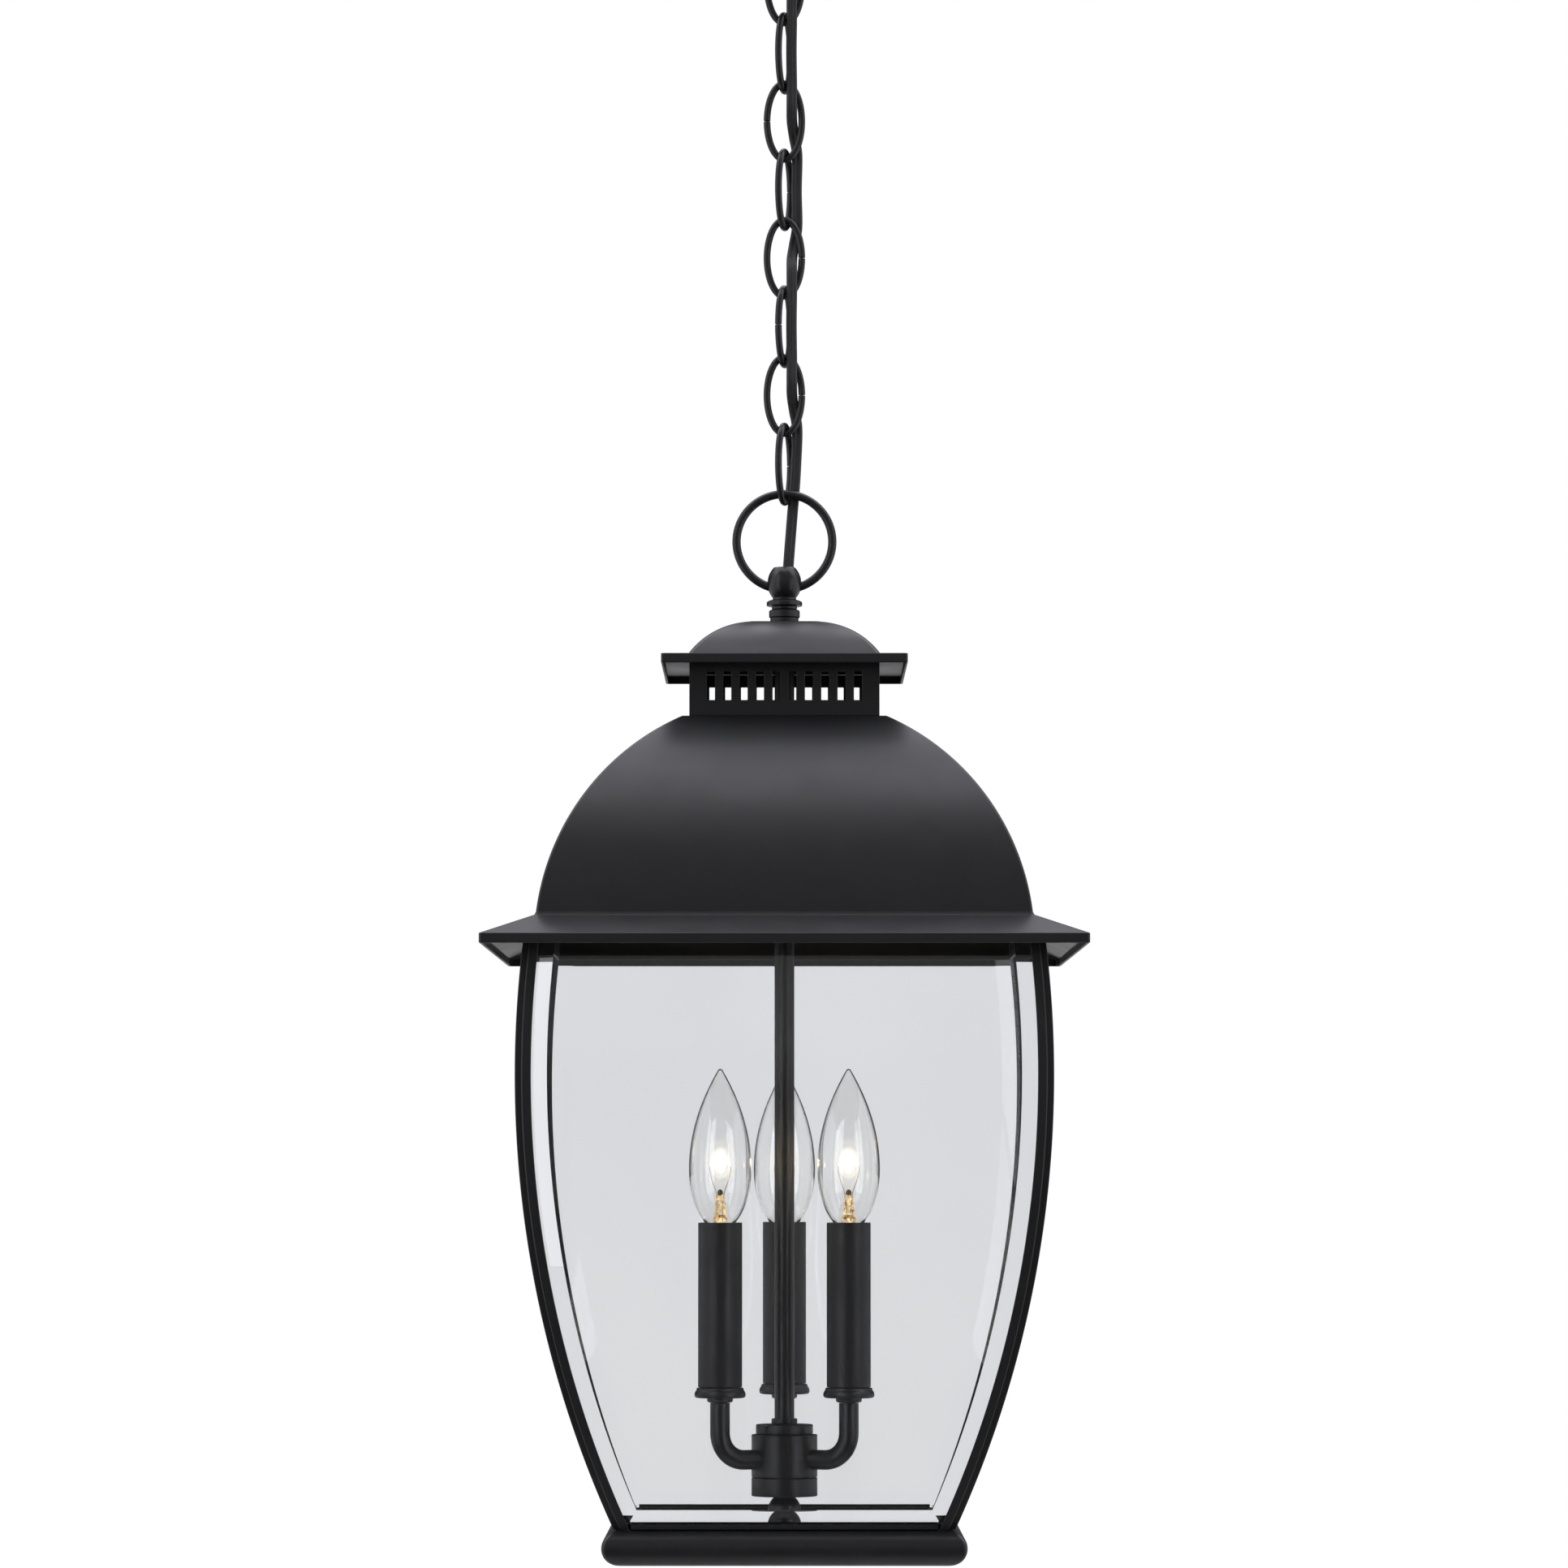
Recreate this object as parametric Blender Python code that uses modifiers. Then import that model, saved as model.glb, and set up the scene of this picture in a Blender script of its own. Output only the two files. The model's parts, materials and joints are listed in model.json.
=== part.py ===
"""A square hanging lantern with a domed roof, bowed clear panes and three candle lamps, hung from a ceiling
canopy by eight oval chain links with a flat twin cord woven through them.

Metres, +Z up. The origin is the centre of the crossbar's top face, which is screwed to the ceiling box. The
lantern hangs down from it and its front faces -Y.
"""

import math

import bmesh
import bpy
from mathutils import Matrix, Vector

MM = 0.001
GAP = 0.3 * MM  # kept between pieces that touch
SHEET = 1.2 * MM  # thickness of the pressed sheet metal
ROUND_STEPS = 16
SQUARE_STEPS = 4
WIRE_RESOLUTION = 2  # gives a wire eight sides
MERGE = 0.00005

# ceiling fitting
CANOPY_RADIUS = 63.5 * MM
CANOPY_DEPTH = 22.0 * MM
CANOPY_LIP = 3.5 * MM
CANOPY_FLAT_RADIUS = 20.0 * MM
CANOPY_STEPS = 32
CROSSBAR_LENGTH = 104.0 * MM
CROSSBAR_WIDTH = 18.0 * MM
CROSSBAR_THICKNESS = 2.6 * MM
HUB_DEPTH = 7.0 * MM
HUB_RADIUS = 9.0 * MM
CROSSBAR_SLOT = (16.0 * MM, 5.0 * MM)  # length and width of each mounting slot
CROSSBAR_SLOT_OFFSET = 38.0 * MM
PIPE_RADIUS = 4.75 * MM  # all threaded pipe is one size
PIPE_BORE = 3.3 * MM
PIPE_HOLE = 5.05 * MM  # clearance hole for that pipe
NUT_RADIUS = 8.5 * MM  # over the corners
NUT_HEIGHT = 3.5 * MM
COLLAR_HEIGHT = 8.0 * MM
COLLAR_RADIUS = 12.0 * MM
LOOP_WIRE = 2.0 * MM
LOOP_RADIUS = 11.0 * MM
LOOP_BOTTOM_Z = -60.0 * MM  # centre of the canopy loop's lowest wire

# chain
LINKS = "abcdefgh"
LINK_WIRE = 1.7 * MM
LINK_HALF_WIDTH = 8.45 * MM  # to the wire's centre
LINK_HALF_LENGTH = 18.65 * MM
LINK_TURN = math.radians(20.0)  # every second link stands this far off square
LINK_POINTS = 20

# ring, ball and neck on top of the lantern
RING_WIRE = 2.05 * MM
RING_RADIUS = 23.2 * MM
RING_END_ANGLE = math.radians(17.5)  # where each end of the ring stops, from straight down
RING_POINTS = 28
BALL_RADIUS = 8.2 * MM
BALL_HALF_HEIGHT = 9.8 * MM

# lantern: heights are above the underside of the tray, half widths are from its axis
RING_TOP = 510.9 * MM
WALL_RADIUS = 526.3 * MM  # the bow of the posts and panes
WALL_WIDEST = 124.2 * MM
WALL_WIDEST_HEIGHT = 228.7 * MM
POST_BOTTOM = 16.8 * MM
POST_TOP = 298.0 * MM
POST_STEP = 3.3 * MM  # depth of the re-entrant corner
POST_WIDTH = 7.6 * MM
POST_THICKNESS = 1.4 * MM
POST_RINGS = 16
PANE_BOTTOM = 19.6 * MM
PANE_TOP = 297.0 * MM
PANE_THICKNESS = 3.4 * MM
PANE_SETBACK = 1.7 * MM  # outer face of the pane, behind the face of the posts
PANE_EDGE = 5.8 * MM  # edge of the pane, in from the side of the posts

TRAY_HALF = 85.1 * MM
TRAY_HEIGHT = 16.5 * MM
TRAY_OPENING = 68.0 * MM
SILL_OUTER = 79.2 * MM
SILL_INNER = 70.0 * MM
SILL_BOTTOM = 16.8 * MM
SILL_TOP = 19.3 * MM
SILL_RIM_TOP = 20.8 * MM
SILL_RIM_OUTER = 75.0 * MM
SILL_CORNER = 71.5 * MM  # the sill's corners are cut away outside this, round the posts

EAVE_HALF = 140.0 * MM
EAVE_LIP_BOTTOM = 287.3 * MM
EAVE_LIP_TOP = 291.9 * MM
DOME_HALF = 115.0 * MM
DOME_BOTTOM = 301.4 * MM
DOME_RADIUS = 126.1 * MM
DOME_CENTRE = (-10.25 * MM, 287.7 * MM)
DOME_ANGLES = (6.9, 62.1)
DOME_TOP = 399.1 * MM
VENT_OPENING = 40.0 * MM

VENT_HALF = 45.25 * MM
VENT_TOP = 426.7 * MM
SLOTS = 10
SLOT_WIDTH = 3.75 * MM
SLOT_PITCH = 7.77 * MM
SLOT_BOTTOM = 406.9 * MM
SLOT_TOP = 420.7 * MM

CAP_HALF = 58.5 * MM
CAP_LIP_BOTTOM = 423.6 * MM
CAP_PLATE_TOP = 428.2 * MM
CAP_DOME_RADIUS = 42.2 * MM
CAP_DOME_CENTRE = (10.8 * MM, 405.6 * MM)
CAP_DOME_ANGLES = (34.4, 81.6)
CAP_TOP = 447.4 * MM
CAP_FLAT_HALF = 17.0 * MM

# candle cluster
CANDLES = 3
CANDLE_RING = 35.4 * MM
FIRST_CANDLE = 90.0  # degrees; the other two stand in front
CLUSTER_RADIUS = 15.8 * MM
CLUSTER_CAP_RADIUS = 13.7 * MM
CLUSTER_WALL = 1.5 * MM
ARM_RADIUS = 4.7 * MM
ARM_HOLE = 5.0 * MM
ARM_HEIGHT = 46.4 * MM  # where the arms enter the cluster
ARM_BEND = 13.0 * MM
ARM_TOP = 73.6 * MM
COVER_RADIUS = 10.5 * MM
COVER_BORE = 9.5 * MM
COVER_BOTTOM = 81.1 * MM
COVER_TOP = 159.1 * MM
BULB_RADIUS = 14.9 * MM
BULB_WIDEST = 184.6 * MM
BULB_TIP = 232.2 * MM
BULB_SHOULDER = 29.3 * MM  # from the widest place to where the lower curve would close
BULB_NECK_RADIUS = 6.6 * MM

# worked out from the sizes above
LINK_PITCH = 2 * (LINK_HALF_LENGTH - LINK_WIRE) - GAP
FIRST_LINK_TOP = LOOP_BOTTOM_Z + LOOP_WIRE + LINK_WIRE + GAP
LAST_LINK_BOTTOM = FIRST_LINK_TOP - 2 * LINK_HALF_LENGTH - (len(LINKS) - 1) * LINK_PITCH
RING_TOP_Z = LAST_LINK_BOTTOM + LINK_WIRE + RING_WIRE + GAP
BASE_Z = RING_TOP_Z - RING_TOP

# the cord's route, in millimetres, from the canopy loop down to the ball: it passes in front of link a, through
# link c to the back, through link e to the front and through link g to the back again
CORD_ROUTE = (
    (0.0, 0.0, -36.0),
    (0.7, -0.4, -44.0),
    (4.1, -2.6, -51.5),
    (5.0, -3.7, -57.0),
    (4.6, -3.8, -64.0),
    (3.7, -3.6, -76.0),
    (3.6, -3.6, -91.0),
    (3.4, -3.6, -108.0),
    (3.6, -3.6, -125.0),
    (3.6, -3.4, -134.5),
    (3.7, 0.0, -141.9),
    (4.8, 3.4, -149.2),
    (6.2, 3.6, -158.0),
    (5.9, 3.7, -175.5),
    (6.2, 3.6, -192.5),
    (4.8, 3.4, -201.7),
    (3.7, 0.0, -209.1),
    (3.6, -3.4, -216.4),
    (3.6, -3.6, -225.5),
    (3.4, -3.6, -242.7),
    (3.6, -3.6, -259.5),
    (3.6, -3.4, -268.9),
    (3.7, 0.0, -276.3),
    (4.8, 3.4, -283.6),
    (6.2, 3.6, -292.5),
    (5.9, 3.8, -309.9),
    (6.5, 4.1, -323.0),
    (5.7, 3.7, -331.0),
    (2.0, 1.2, -345.0),
    (0.4, 0.2, -355.5),
    (0.0, 0.0, -364.0),
)
CORD_STRAND = 1.3 * MM  # half the cord's thickness
CORD_HALF_WIDTH = 2.6 * MM
CORD_STEPS = 2  # lengths between one route point and the next
CORD_TILT = math.radians(60.0)  # turns the flat side to the front


# ---------------------------------------------------------------- scene and materials


def clear_scene():
    for obj in list(bpy.data.objects):
        bpy.data.objects.remove(obj, do_unlink=True)


def new_collection(name):
    collection = bpy.data.collections.new(name)
    bpy.context.scene.collection.children.link(collection)
    return collection


def material(name, colour, roughness, metallic=0.0, transmission=0.0):
    made = bpy.data.materials.new(name)
    made.use_nodes = True
    shader = made.node_tree.nodes["Principled BSDF"]
    shader.inputs["Base Color"].default_value = (*colour, 1.0)
    shader.inputs["Roughness"].default_value = roughness
    shader.inputs["Metallic"].default_value = metallic
    shader.inputs["Transmission Weight"].default_value = transmission
    made.diffuse_color = (*colour, 1.0)
    return made


clear_scene()
PARTS = new_collection("hanging_lantern")
CUTTERS = new_collection("cutters")
BLACK_PAINT = material("black_paint", (0.022, 0.023, 0.025), 0.5)
BLACK_CHAIN = material("black_chain", (0.018, 0.018, 0.02), 0.42)
BLACK_CORD = material("black_cord", (0.02, 0.02, 0.021), 0.5)
ZINC = material("zinc_steel", (0.55, 0.56, 0.58), 0.35, metallic=1.0)
SOCKET_PLASTIC = material("socket_plastic", (0.05, 0.05, 0.05), 0.6)
CLEAR_GLASS = material("clear_glass", (0.97, 0.98, 0.98), 0.03, transmission=1.0)
BULB_GLASS = material("bulb_glass", (0.98, 0.98, 0.97), 0.02, transmission=1.0)


# ---------------------------------------------------------------- modelling helpers


def at(height):
    """The z of a height above the tray's underside."""
    return BASE_Z + height


def add(name, mesh, look, collection=PARTS):
    obj = bpy.data.objects.new(name, mesh)
    collection.objects.link(obj)
    if look:
        obj.data.materials.append(look)
    return obj


def evaluated_mesh(obj):
    bpy.context.view_layer.update()
    evaluated = obj.evaluated_get(bpy.context.evaluated_depsgraph_get())
    return bpy.data.meshes.new_from_object(evaluated)


def made_real(obj, smooth=True):
    """The same object with its modifiers or its curve turned into one plain mesh."""
    mesh = evaluated_mesh(obj)
    name, look, matrix = obj.name, obj.active_material, obj.matrix_world.copy()
    collection = obj.users_collection[0]
    bpy.data.objects.remove(obj, do_unlink=True)
    joined = bmesh.new()
    joined.from_mesh(mesh)
    bmesh.ops.remove_doubles(joined, verts=joined.verts, dist=MERGE / 5)
    bmesh.ops.recalc_face_normals(joined, faces=joined.faces)
    joined.to_mesh(mesh)
    joined.free()
    mesh.materials.clear()
    real = add(name, mesh, look, collection)
    real.matrix_world = matrix
    if smooth:
        mesh.shade_smooth()
        mesh.set_sharp_from_angle(angle=math.radians(35))
    return real


def screwed(name, profile, look, steps, closed, collection):
    mesh = bpy.data.meshes.new(name)
    edges = [(i, i + 1) for i in range(len(profile) - 1)]
    if closed:
        edges.append((len(profile) - 1, 0))
    mesh.from_pydata([(x, 0.0, z) for x, z in profile], edges, [])
    obj = add(name, mesh, look, collection)
    turn = obj.modifiers.new("turn", "SCREW")
    turn.axis = "Z"
    turn.steps = steps
    turn.render_steps = steps
    turn.use_merge_vertices = True
    turn.merge_threshold = MERGE
    return obj


def turned(name, profile, look, where=(0.0, 0.0), closed=False, steps=ROUND_STEPS, collection=PARTS):
    """A round piece about a vertical axis. profile is (radius, z) from the top down its outer side; a closed one is
    a ring, and an open one starts and ends on the axis."""
    obj = made_real(screwed(name, profile, look, steps, closed, collection))
    obj.location = (*where, 0.0)
    return obj


def squared(name, profile, look, closed=True):
    """A piece that is square in plan. profile is (half width, z) from the top down its outer side."""
    corners = [(half * math.sqrt(2), z) for half, z in profile]
    obj = made_real(screwed(name, corners, look, SQUARE_STEPS, closed, PARTS), smooth=False)
    obj.data.transform(Matrix.Rotation(math.radians(45), 4, "Z"))
    return obj


def block(name, low, high, look=None, collection=PARTS):
    middle = (Vector(low) + Vector(high)) / 2
    size = Vector(high) - Vector(low)
    bpy.ops.mesh.primitive_cube_add(size=1.0, location=middle)
    obj = bpy.context.active_object
    for other in obj.users_collection:
        other.objects.unlink(obj)
    collection.objects.link(obj)
    obj.name = name
    obj.data.transform(Matrix.Diagonal((*size, 1.0)))
    if look:
        obj.data.materials.append(look)
    return obj


def cylinder(name, radius, low, high, where=(0.0, 0.0), look=None, collection=CUTTERS, sides=ROUND_STEPS):
    profile = [(0.0, high), (radius, high), (radius, low), (0.0, low)]
    return turned(name, profile, look, where, steps=sides, collection=collection)


def wire(name, points, radius, look, cyclic=False, collection=PARTS):
    """A round bar along points."""
    curve = bpy.data.curves.new(name, "CURVE")
    curve.dimensions = "3D"
    curve.bevel_depth = radius
    curve.bevel_resolution = WIRE_RESOLUTION
    curve.use_fill_caps = not cyclic
    spline = curve.splines.new("POLY")
    spline.points.add(len(points) - 1)
    for target, point in zip(spline.points, points):
        target.co = (*point, 1.0)
    spline.use_cyclic_u = cyclic
    return made_real(add(name, curve, look, collection))


def change(obj, tool, operation):
    """Cuts tool out of obj, or joins it on, and hides the tool."""
    tool.hide_render = True
    tool.display_type = "WIRE"
    step = obj.modifiers.new(operation.lower(), "BOOLEAN")
    step.operation = operation
    step.object = tool
    return obj


def cut(obj, *tools):
    for tool in tools:
        change(obj, tool, "DIFFERENCE")
    return made_real(obj)


def joined_to(obj, *tools):
    for tool in tools:
        change(obj, tool, "UNION")
    return made_real(obj)


def arc(centre, radius, start, end, count):
    """Points on an arc, from one angle to another in degrees above the +X side."""
    steps = [math.radians(start + (end - start) * i / count) for i in range(count + 1)]
    return [(centre[0] + radius * math.cos(a), centre[1] + radius * math.sin(a)) for a in steps]


def wall_half(height):
    """Half the lantern's width over its posts at a height."""
    drop = height - WALL_WIDEST_HEIGHT
    return WALL_WIDEST - WALL_RADIUS + math.sqrt(WALL_RADIUS**2 - drop**2)


def pipe(name, low, high, look):
    profile = [(PIPE_RADIUS, high), (PIPE_RADIUS, low), (PIPE_BORE, low), (PIPE_BORE, high)]
    return turned(name, profile, look, closed=True)


def ring_of(name, outer, inner, low, high, look):
    profile = [(outer, high), (outer, low), (inner, low), (inner, high)]
    return turned(name, profile, look, closed=True)


def make_nut(name, low, high, look):
    nut = cylinder(name, NUT_RADIUS, low, high, look=look, collection=PARTS, sides=6)
    cut(nut, cylinder(f"{name}_bore", PIPE_HOLE, low - GAP, high + GAP))


# ---------------------------------------------------------------- ceiling fitting


def make_crossbar():
    half_length, half_width = CROSSBAR_LENGTH / 2, CROSSBAR_WIDTH / 2
    low = (-half_width, -half_length, -CROSSBAR_THICKNESS)
    bar = block("crossbar", low, (half_width, half_length, 0.0), ZINC)
    hub = cylinder("crossbar_hub", HUB_RADIUS, -HUB_DEPTH, -CROSSBAR_THICKNESS / 2)
    bar = joined_to(bar, hub)
    tools = [cylinder("crossbar_bore", PIPE_HOLE, -HUB_DEPTH - GAP, -CROSSBAR_THICKNESS)]
    slot_length, slot_width = CROSSBAR_SLOT
    for side in (-1, 1):
        middle = side * CROSSBAR_SLOT_OFFSET
        corner = Vector((slot_width / 2, slot_length / 2, CROSSBAR_THICKNESS))
        slot_middle = Vector((0.0, middle, -CROSSBAR_THICKNESS / 2))
        name = f"crossbar_slot_{'front' if side < 0 else 'rear'}"
        tools.append(block(name, slot_middle - corner, slot_middle + corner, collection=CUTTERS))
    cut(bar, *tools)


def make_canopy():
    flat, lip = CANOPY_FLAT_RADIUS, CANOPY_LIP
    reach, fall = CANOPY_RADIUS - flat, CANOPY_DEPTH - lip
    turns = [math.radians(90 * i / 5) for i in range(6)]
    outer = [(flat + reach * math.cos(a), -lip - fall * math.sin(a)) for a in turns]
    reach, fall = reach - SHEET, fall - SHEET
    inner = [(flat + reach * math.cos(a), -lip - fall * math.sin(a)) for a in reversed(turns)]
    profile = [(CANOPY_RADIUS, -GAP), *outer, (PIPE_HOLE, -CANOPY_DEPTH)]
    profile += [(PIPE_HOLE, SHEET - CANOPY_DEPTH), *inner, (CANOPY_RADIUS - SHEET, -GAP)]
    turned("canopy", profile, BLACK_PAINT, closed=True, steps=CANOPY_STEPS)


def make_ceiling_hardware():
    loop_centre = LOOP_BOTTOM_Z + LOOP_RADIUS
    collar_bottom = -CANOPY_DEPTH - GAP - COLLAR_HEIGHT
    head_top = collar_bottom - GAP
    head_bottom = loop_centre + LOOP_RADIUS - 3.0 * MM
    nipple_bottom = head_top - 3.0 * MM
    pipe("ceiling_nipple", nipple_bottom, -CROSSBAR_THICKNESS - GAP, ZINC)
    nut_low = SHEET - CANOPY_DEPTH + GAP
    make_nut("lock_nut", nut_low, nut_low + NUT_HEIGHT, ZINC)
    edge = 1.0 * MM
    collar = [
        (COLLAR_RADIUS - edge, -CANOPY_DEPTH - GAP),
        (COLLAR_RADIUS, -CANOPY_DEPTH - GAP - edge),
        (COLLAR_RADIUS, collar_bottom + edge),
        (COLLAR_RADIUS - 2 * edge, collar_bottom),
        (PIPE_HOLE, collar_bottom),
        (PIPE_HOLE, -CANOPY_DEPTH - GAP),
    ]
    turned("screw_collar", collar, BLACK_PAINT, closed=True)

    ring = [
        (0.0, LOOP_RADIUS * math.sin(a), loop_centre + LOOP_RADIUS * math.cos(a))
        for a in (math.tau * i / LINK_POINTS for i in range(LINK_POINTS))
    ]
    loop = wire("canopy_loop", ring, LOOP_WIRE, BLACK_CHAIN, cyclic=True)
    middle = (head_top + head_bottom) / 2
    head_half = (head_top - head_bottom) / 2
    head = [(0.0, head_top), (6.6 * MM, head_top), (7.6 * MM, middle + head_half / 2), (7.6 * MM, middle)]
    head += [(6.6 * MM, middle - head_half / 2), (4.6 * MM, head_bottom), (0.0, head_bottom)]
    loop = joined_to(loop, turned("loop_head", head, None, collection=CUTTERS))
    socket = cylinder("loop_socket", PIPE_HOLE, nipple_bottom - GAP, head_top + GAP)
    wireway = cylinder("loop_wireway", PIPE_BORE, head_bottom - GAP - 3.0 * MM, nipple_bottom, sides=12)
    cut(loop, socket, wireway)


# ---------------------------------------------------------------- chain and cord


def make_link(index):
    """One oval link. Links a, c, e and g face the front, and the others stand across them."""
    centre = FIRST_LINK_TOP - LINK_HALF_LENGTH - index * LINK_PITCH
    points = [
        (LINK_HALF_WIDTH * math.sin(a), 0.0, LINK_HALF_LENGTH * math.cos(a))
        for a in (math.tau * i / LINK_POINTS for i in range(LINK_POINTS))
    ]
    link = wire(f"link_{LINKS[index]}", points, LINK_WIRE, BLACK_CHAIN, cyclic=True)
    link.location = (0.0, 0.0, centre)
    link.rotation_euler.z = math.radians(90) - LINK_TURN if index % 2 else 0.0


def smooth_route(route, steps):
    """Points on a Catmull-Rom curve through the route."""
    points = [Vector(p) * MM for p in route]
    ends = [2 * points[0] - points[1], *points, 2 * points[-1] - points[-2]]
    curve = []
    for before, start, end, after in zip(ends, ends[1:], ends[2:], ends[3:]):
        for t in (i / steps for i in range(steps)):
            line = (end - before) * t
            bend = (2 * before - 5 * start + 4 * end - after) * t**2
            twist = (3 * start - before - 3 * end + after) * t**3
            curve.append(start + (line + bend + twist) / 2)
    return [*curve, points[-1]]


def make_cord():
    """The flat twin cord: a stadium section, its flat side to the front, along the route."""
    section_curve = bpy.data.curves.new("cord_section", "CURVE")
    section_curve.dimensions = "2D"
    outline = section_curve.splines.new("POLY")
    side = CORD_HALF_WIDTH - CORD_STRAND
    ends = [(side, 0.0, -60 + 60 * i) for i in range(3)] + [(-side, 0.0, 120 + 60 * i) for i in range(3)]
    outline.points.add(len(ends) - 1)
    for target, (x, y, turn) in zip(outline.points, ends):
        angle = math.radians(turn)
        target.co = (x + CORD_STRAND * math.cos(angle), y + CORD_STRAND * math.sin(angle), 0.0, 1.0)
    outline.use_cyclic_u = True
    section = add("cord_section", section_curve, None, CUTTERS)

    curve = bpy.data.curves.new("cord", "CURVE")
    curve.dimensions = "3D"
    curve.bevel_mode = "OBJECT"
    curve.bevel_object = section
    curve.use_fill_caps = True
    spline = curve.splines.new("POLY")
    route = smooth_route(CORD_ROUTE, CORD_STEPS)
    spline.points.add(len(route) - 1)
    for target, point in zip(spline.points, route):
        target.co = (*point, 1.0)
        target.tilt = CORD_TILT
    made_real(add("cord", curve, BLACK_CORD))
    bpy.data.objects.remove(section, do_unlink=True)


# ---------------------------------------------------------------- ring, ball and neck


def ring_points(end_angle):
    centre = RING_TOP_Z - RING_RADIUS
    first, last = math.pi + end_angle, 3 * math.pi - end_angle
    turns = [first + (last - first) * i / RING_POINTS for i in range(RING_POINTS + 1)]
    return [(RING_RADIUS * math.sin(a), 0.0, centre + RING_RADIUS * math.cos(a)) for a in turns]


def make_ring_and_ball():
    wire("loop_ring", ring_points(RING_END_ANGLE), RING_WIRE, BLACK_CHAIN)
    middle, top = at(467.4 * MM), at(475.1 * MM)
    start = math.degrees(math.asin((top - middle) / BALL_HALF_HEIGHT))
    bulge = [
        (BALL_RADIUS * x, middle + BALL_HALF_HEIGHT * z)
        for x, z in arc((0.0, 0.0), 1.0, start, -47.0, 10)
    ]
    profile = [(0.0, top), *bulge]
    profile += [(5.7 * MM, at(459.4 * MM)), (7.4 * MM, at(458.9 * MM)), (8.6 * MM, at(458.2 * MM))]
    profile += [(8.6 * MM, at(456.3 * MM)), (6.1 * MM, at(456.0 * MM)), (6.1 * MM, at(454.6 * MM))]
    profile += [(0.0, at(454.6 * MM))]
    ball = turned("loop_ball", profile, BLACK_CHAIN)
    deeper = ring_points(RING_END_ANGLE - GAP / RING_RADIUS)
    cross_hole = wire("ring_sockets", deeper, RING_WIRE + GAP, None, collection=CUTTERS)
    wireway = cylinder("ball_wireway", PIPE_BORE, at(458.0 * MM), top + GAP, sides=12)
    socket = cylinder("ball_socket", PIPE_HOLE, at(454.0 * MM), at(459.0 * MM))
    cut(ball, cross_hole, wireway, socket)


def make_neck():
    collar = [(7.0 * MM, at(454.3 * MM)), (7.45 * MM, at(453.8 * MM)), (7.45 * MM, at(450.8 * MM))]
    collar += [(6.85 * MM, at(450.5 * MM)), (6.85 * MM, at(447.7 * MM))]
    collar += [(PIPE_HOLE, at(447.7 * MM)), (PIPE_HOLE, at(454.3 * MM))]
    turned("neck_collar", collar, BLACK_PAINT, closed=True)
    nut_top = at(CAP_TOP) - SHEET - GAP
    make_nut("cap_nut", nut_top - NUT_HEIGHT, nut_top, ZINC)


# ---------------------------------------------------------------- cap, vent box and roof


def make_cap():
    """A square plate with a turned-down lip, and a low domed crown on it."""
    low_angle, high_angle = CAP_DOME_ANGLES
    outer = arc((CAP_DOME_CENTRE[0], at(CAP_DOME_CENTRE[1])), CAP_DOME_RADIUS, high_angle, low_angle, 8)
    inner = arc((CAP_DOME_CENTRE[0], at(CAP_DOME_CENTRE[1])), CAP_DOME_RADIUS - SHEET, low_angle, high_angle, 8)
    plate, lip = at(CAP_PLATE_TOP), at(CAP_LIP_BOTTOM)
    profile = [(0.0, at(CAP_TOP)), (CAP_FLAT_HALF, at(CAP_TOP)), *outer]
    profile += [(outer[-1][0] + 0.5 * MM, plate), (CAP_HALF - 0.6 * MM, plate), (CAP_HALF, plate - 0.6 * MM)]
    profile += [(CAP_HALF, lip), (CAP_HALF - SHEET, lip), (CAP_HALF - SHEET, plate - SHEET)]
    profile += [(inner[0][0], plate - SHEET), *inner[1:]]
    profile += [(CAP_FLAT_HALF, at(CAP_TOP) - SHEET), (0.0, at(CAP_TOP) - SHEET)]
    cap = squared("cap", profile, BLACK_PAINT, closed=False)
    hole = cylinder("cap_hole", PIPE_HOLE, at(CAP_TOP) - 2 * SHEET, at(CAP_TOP) + SHEET)
    cut(cap, hole)


def make_vent_box():
    """Four walls that make a square tube, with a row of slots through each."""
    top, bottom = at(VENT_TOP), at(DOME_TOP) + GAP
    inner = VENT_HALF - SHEET
    for turn, name in enumerate(("front", "right", "rear", "left")):
        half_width = inner - GAP if turn % 2 else VENT_HALF
        low, high = (-half_width, -VENT_HALF, bottom), (half_width, -inner, top)
        wall = block(f"vent_{name}", low, high, BLACK_PAINT)
        slots = bmesh.new()
        for i in range(SLOTS):
            middle = ((i - (SLOTS - 1) / 2) * SLOT_PITCH, -VENT_HALF, at((SLOT_BOTTOM + SLOT_TOP) / 2))
            size = Matrix.Diagonal((SLOT_WIDTH, 4 * SHEET, SLOT_TOP - SLOT_BOTTOM, 1.0))
            bmesh.ops.create_cube(slots, size=1.0, matrix=Matrix.Translation(middle) @ size)
        mesh = bpy.data.meshes.new(f"vent_slots_{name}")
        slots.to_mesh(mesh)
        slots.free()
        wall = cut(wall, add(f"vent_slots_{name}", mesh, None, CUTTERS))
        wall.matrix_world = Matrix.Rotation(math.radians(90 * turn), 4, "Z") @ wall.matrix_world


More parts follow.
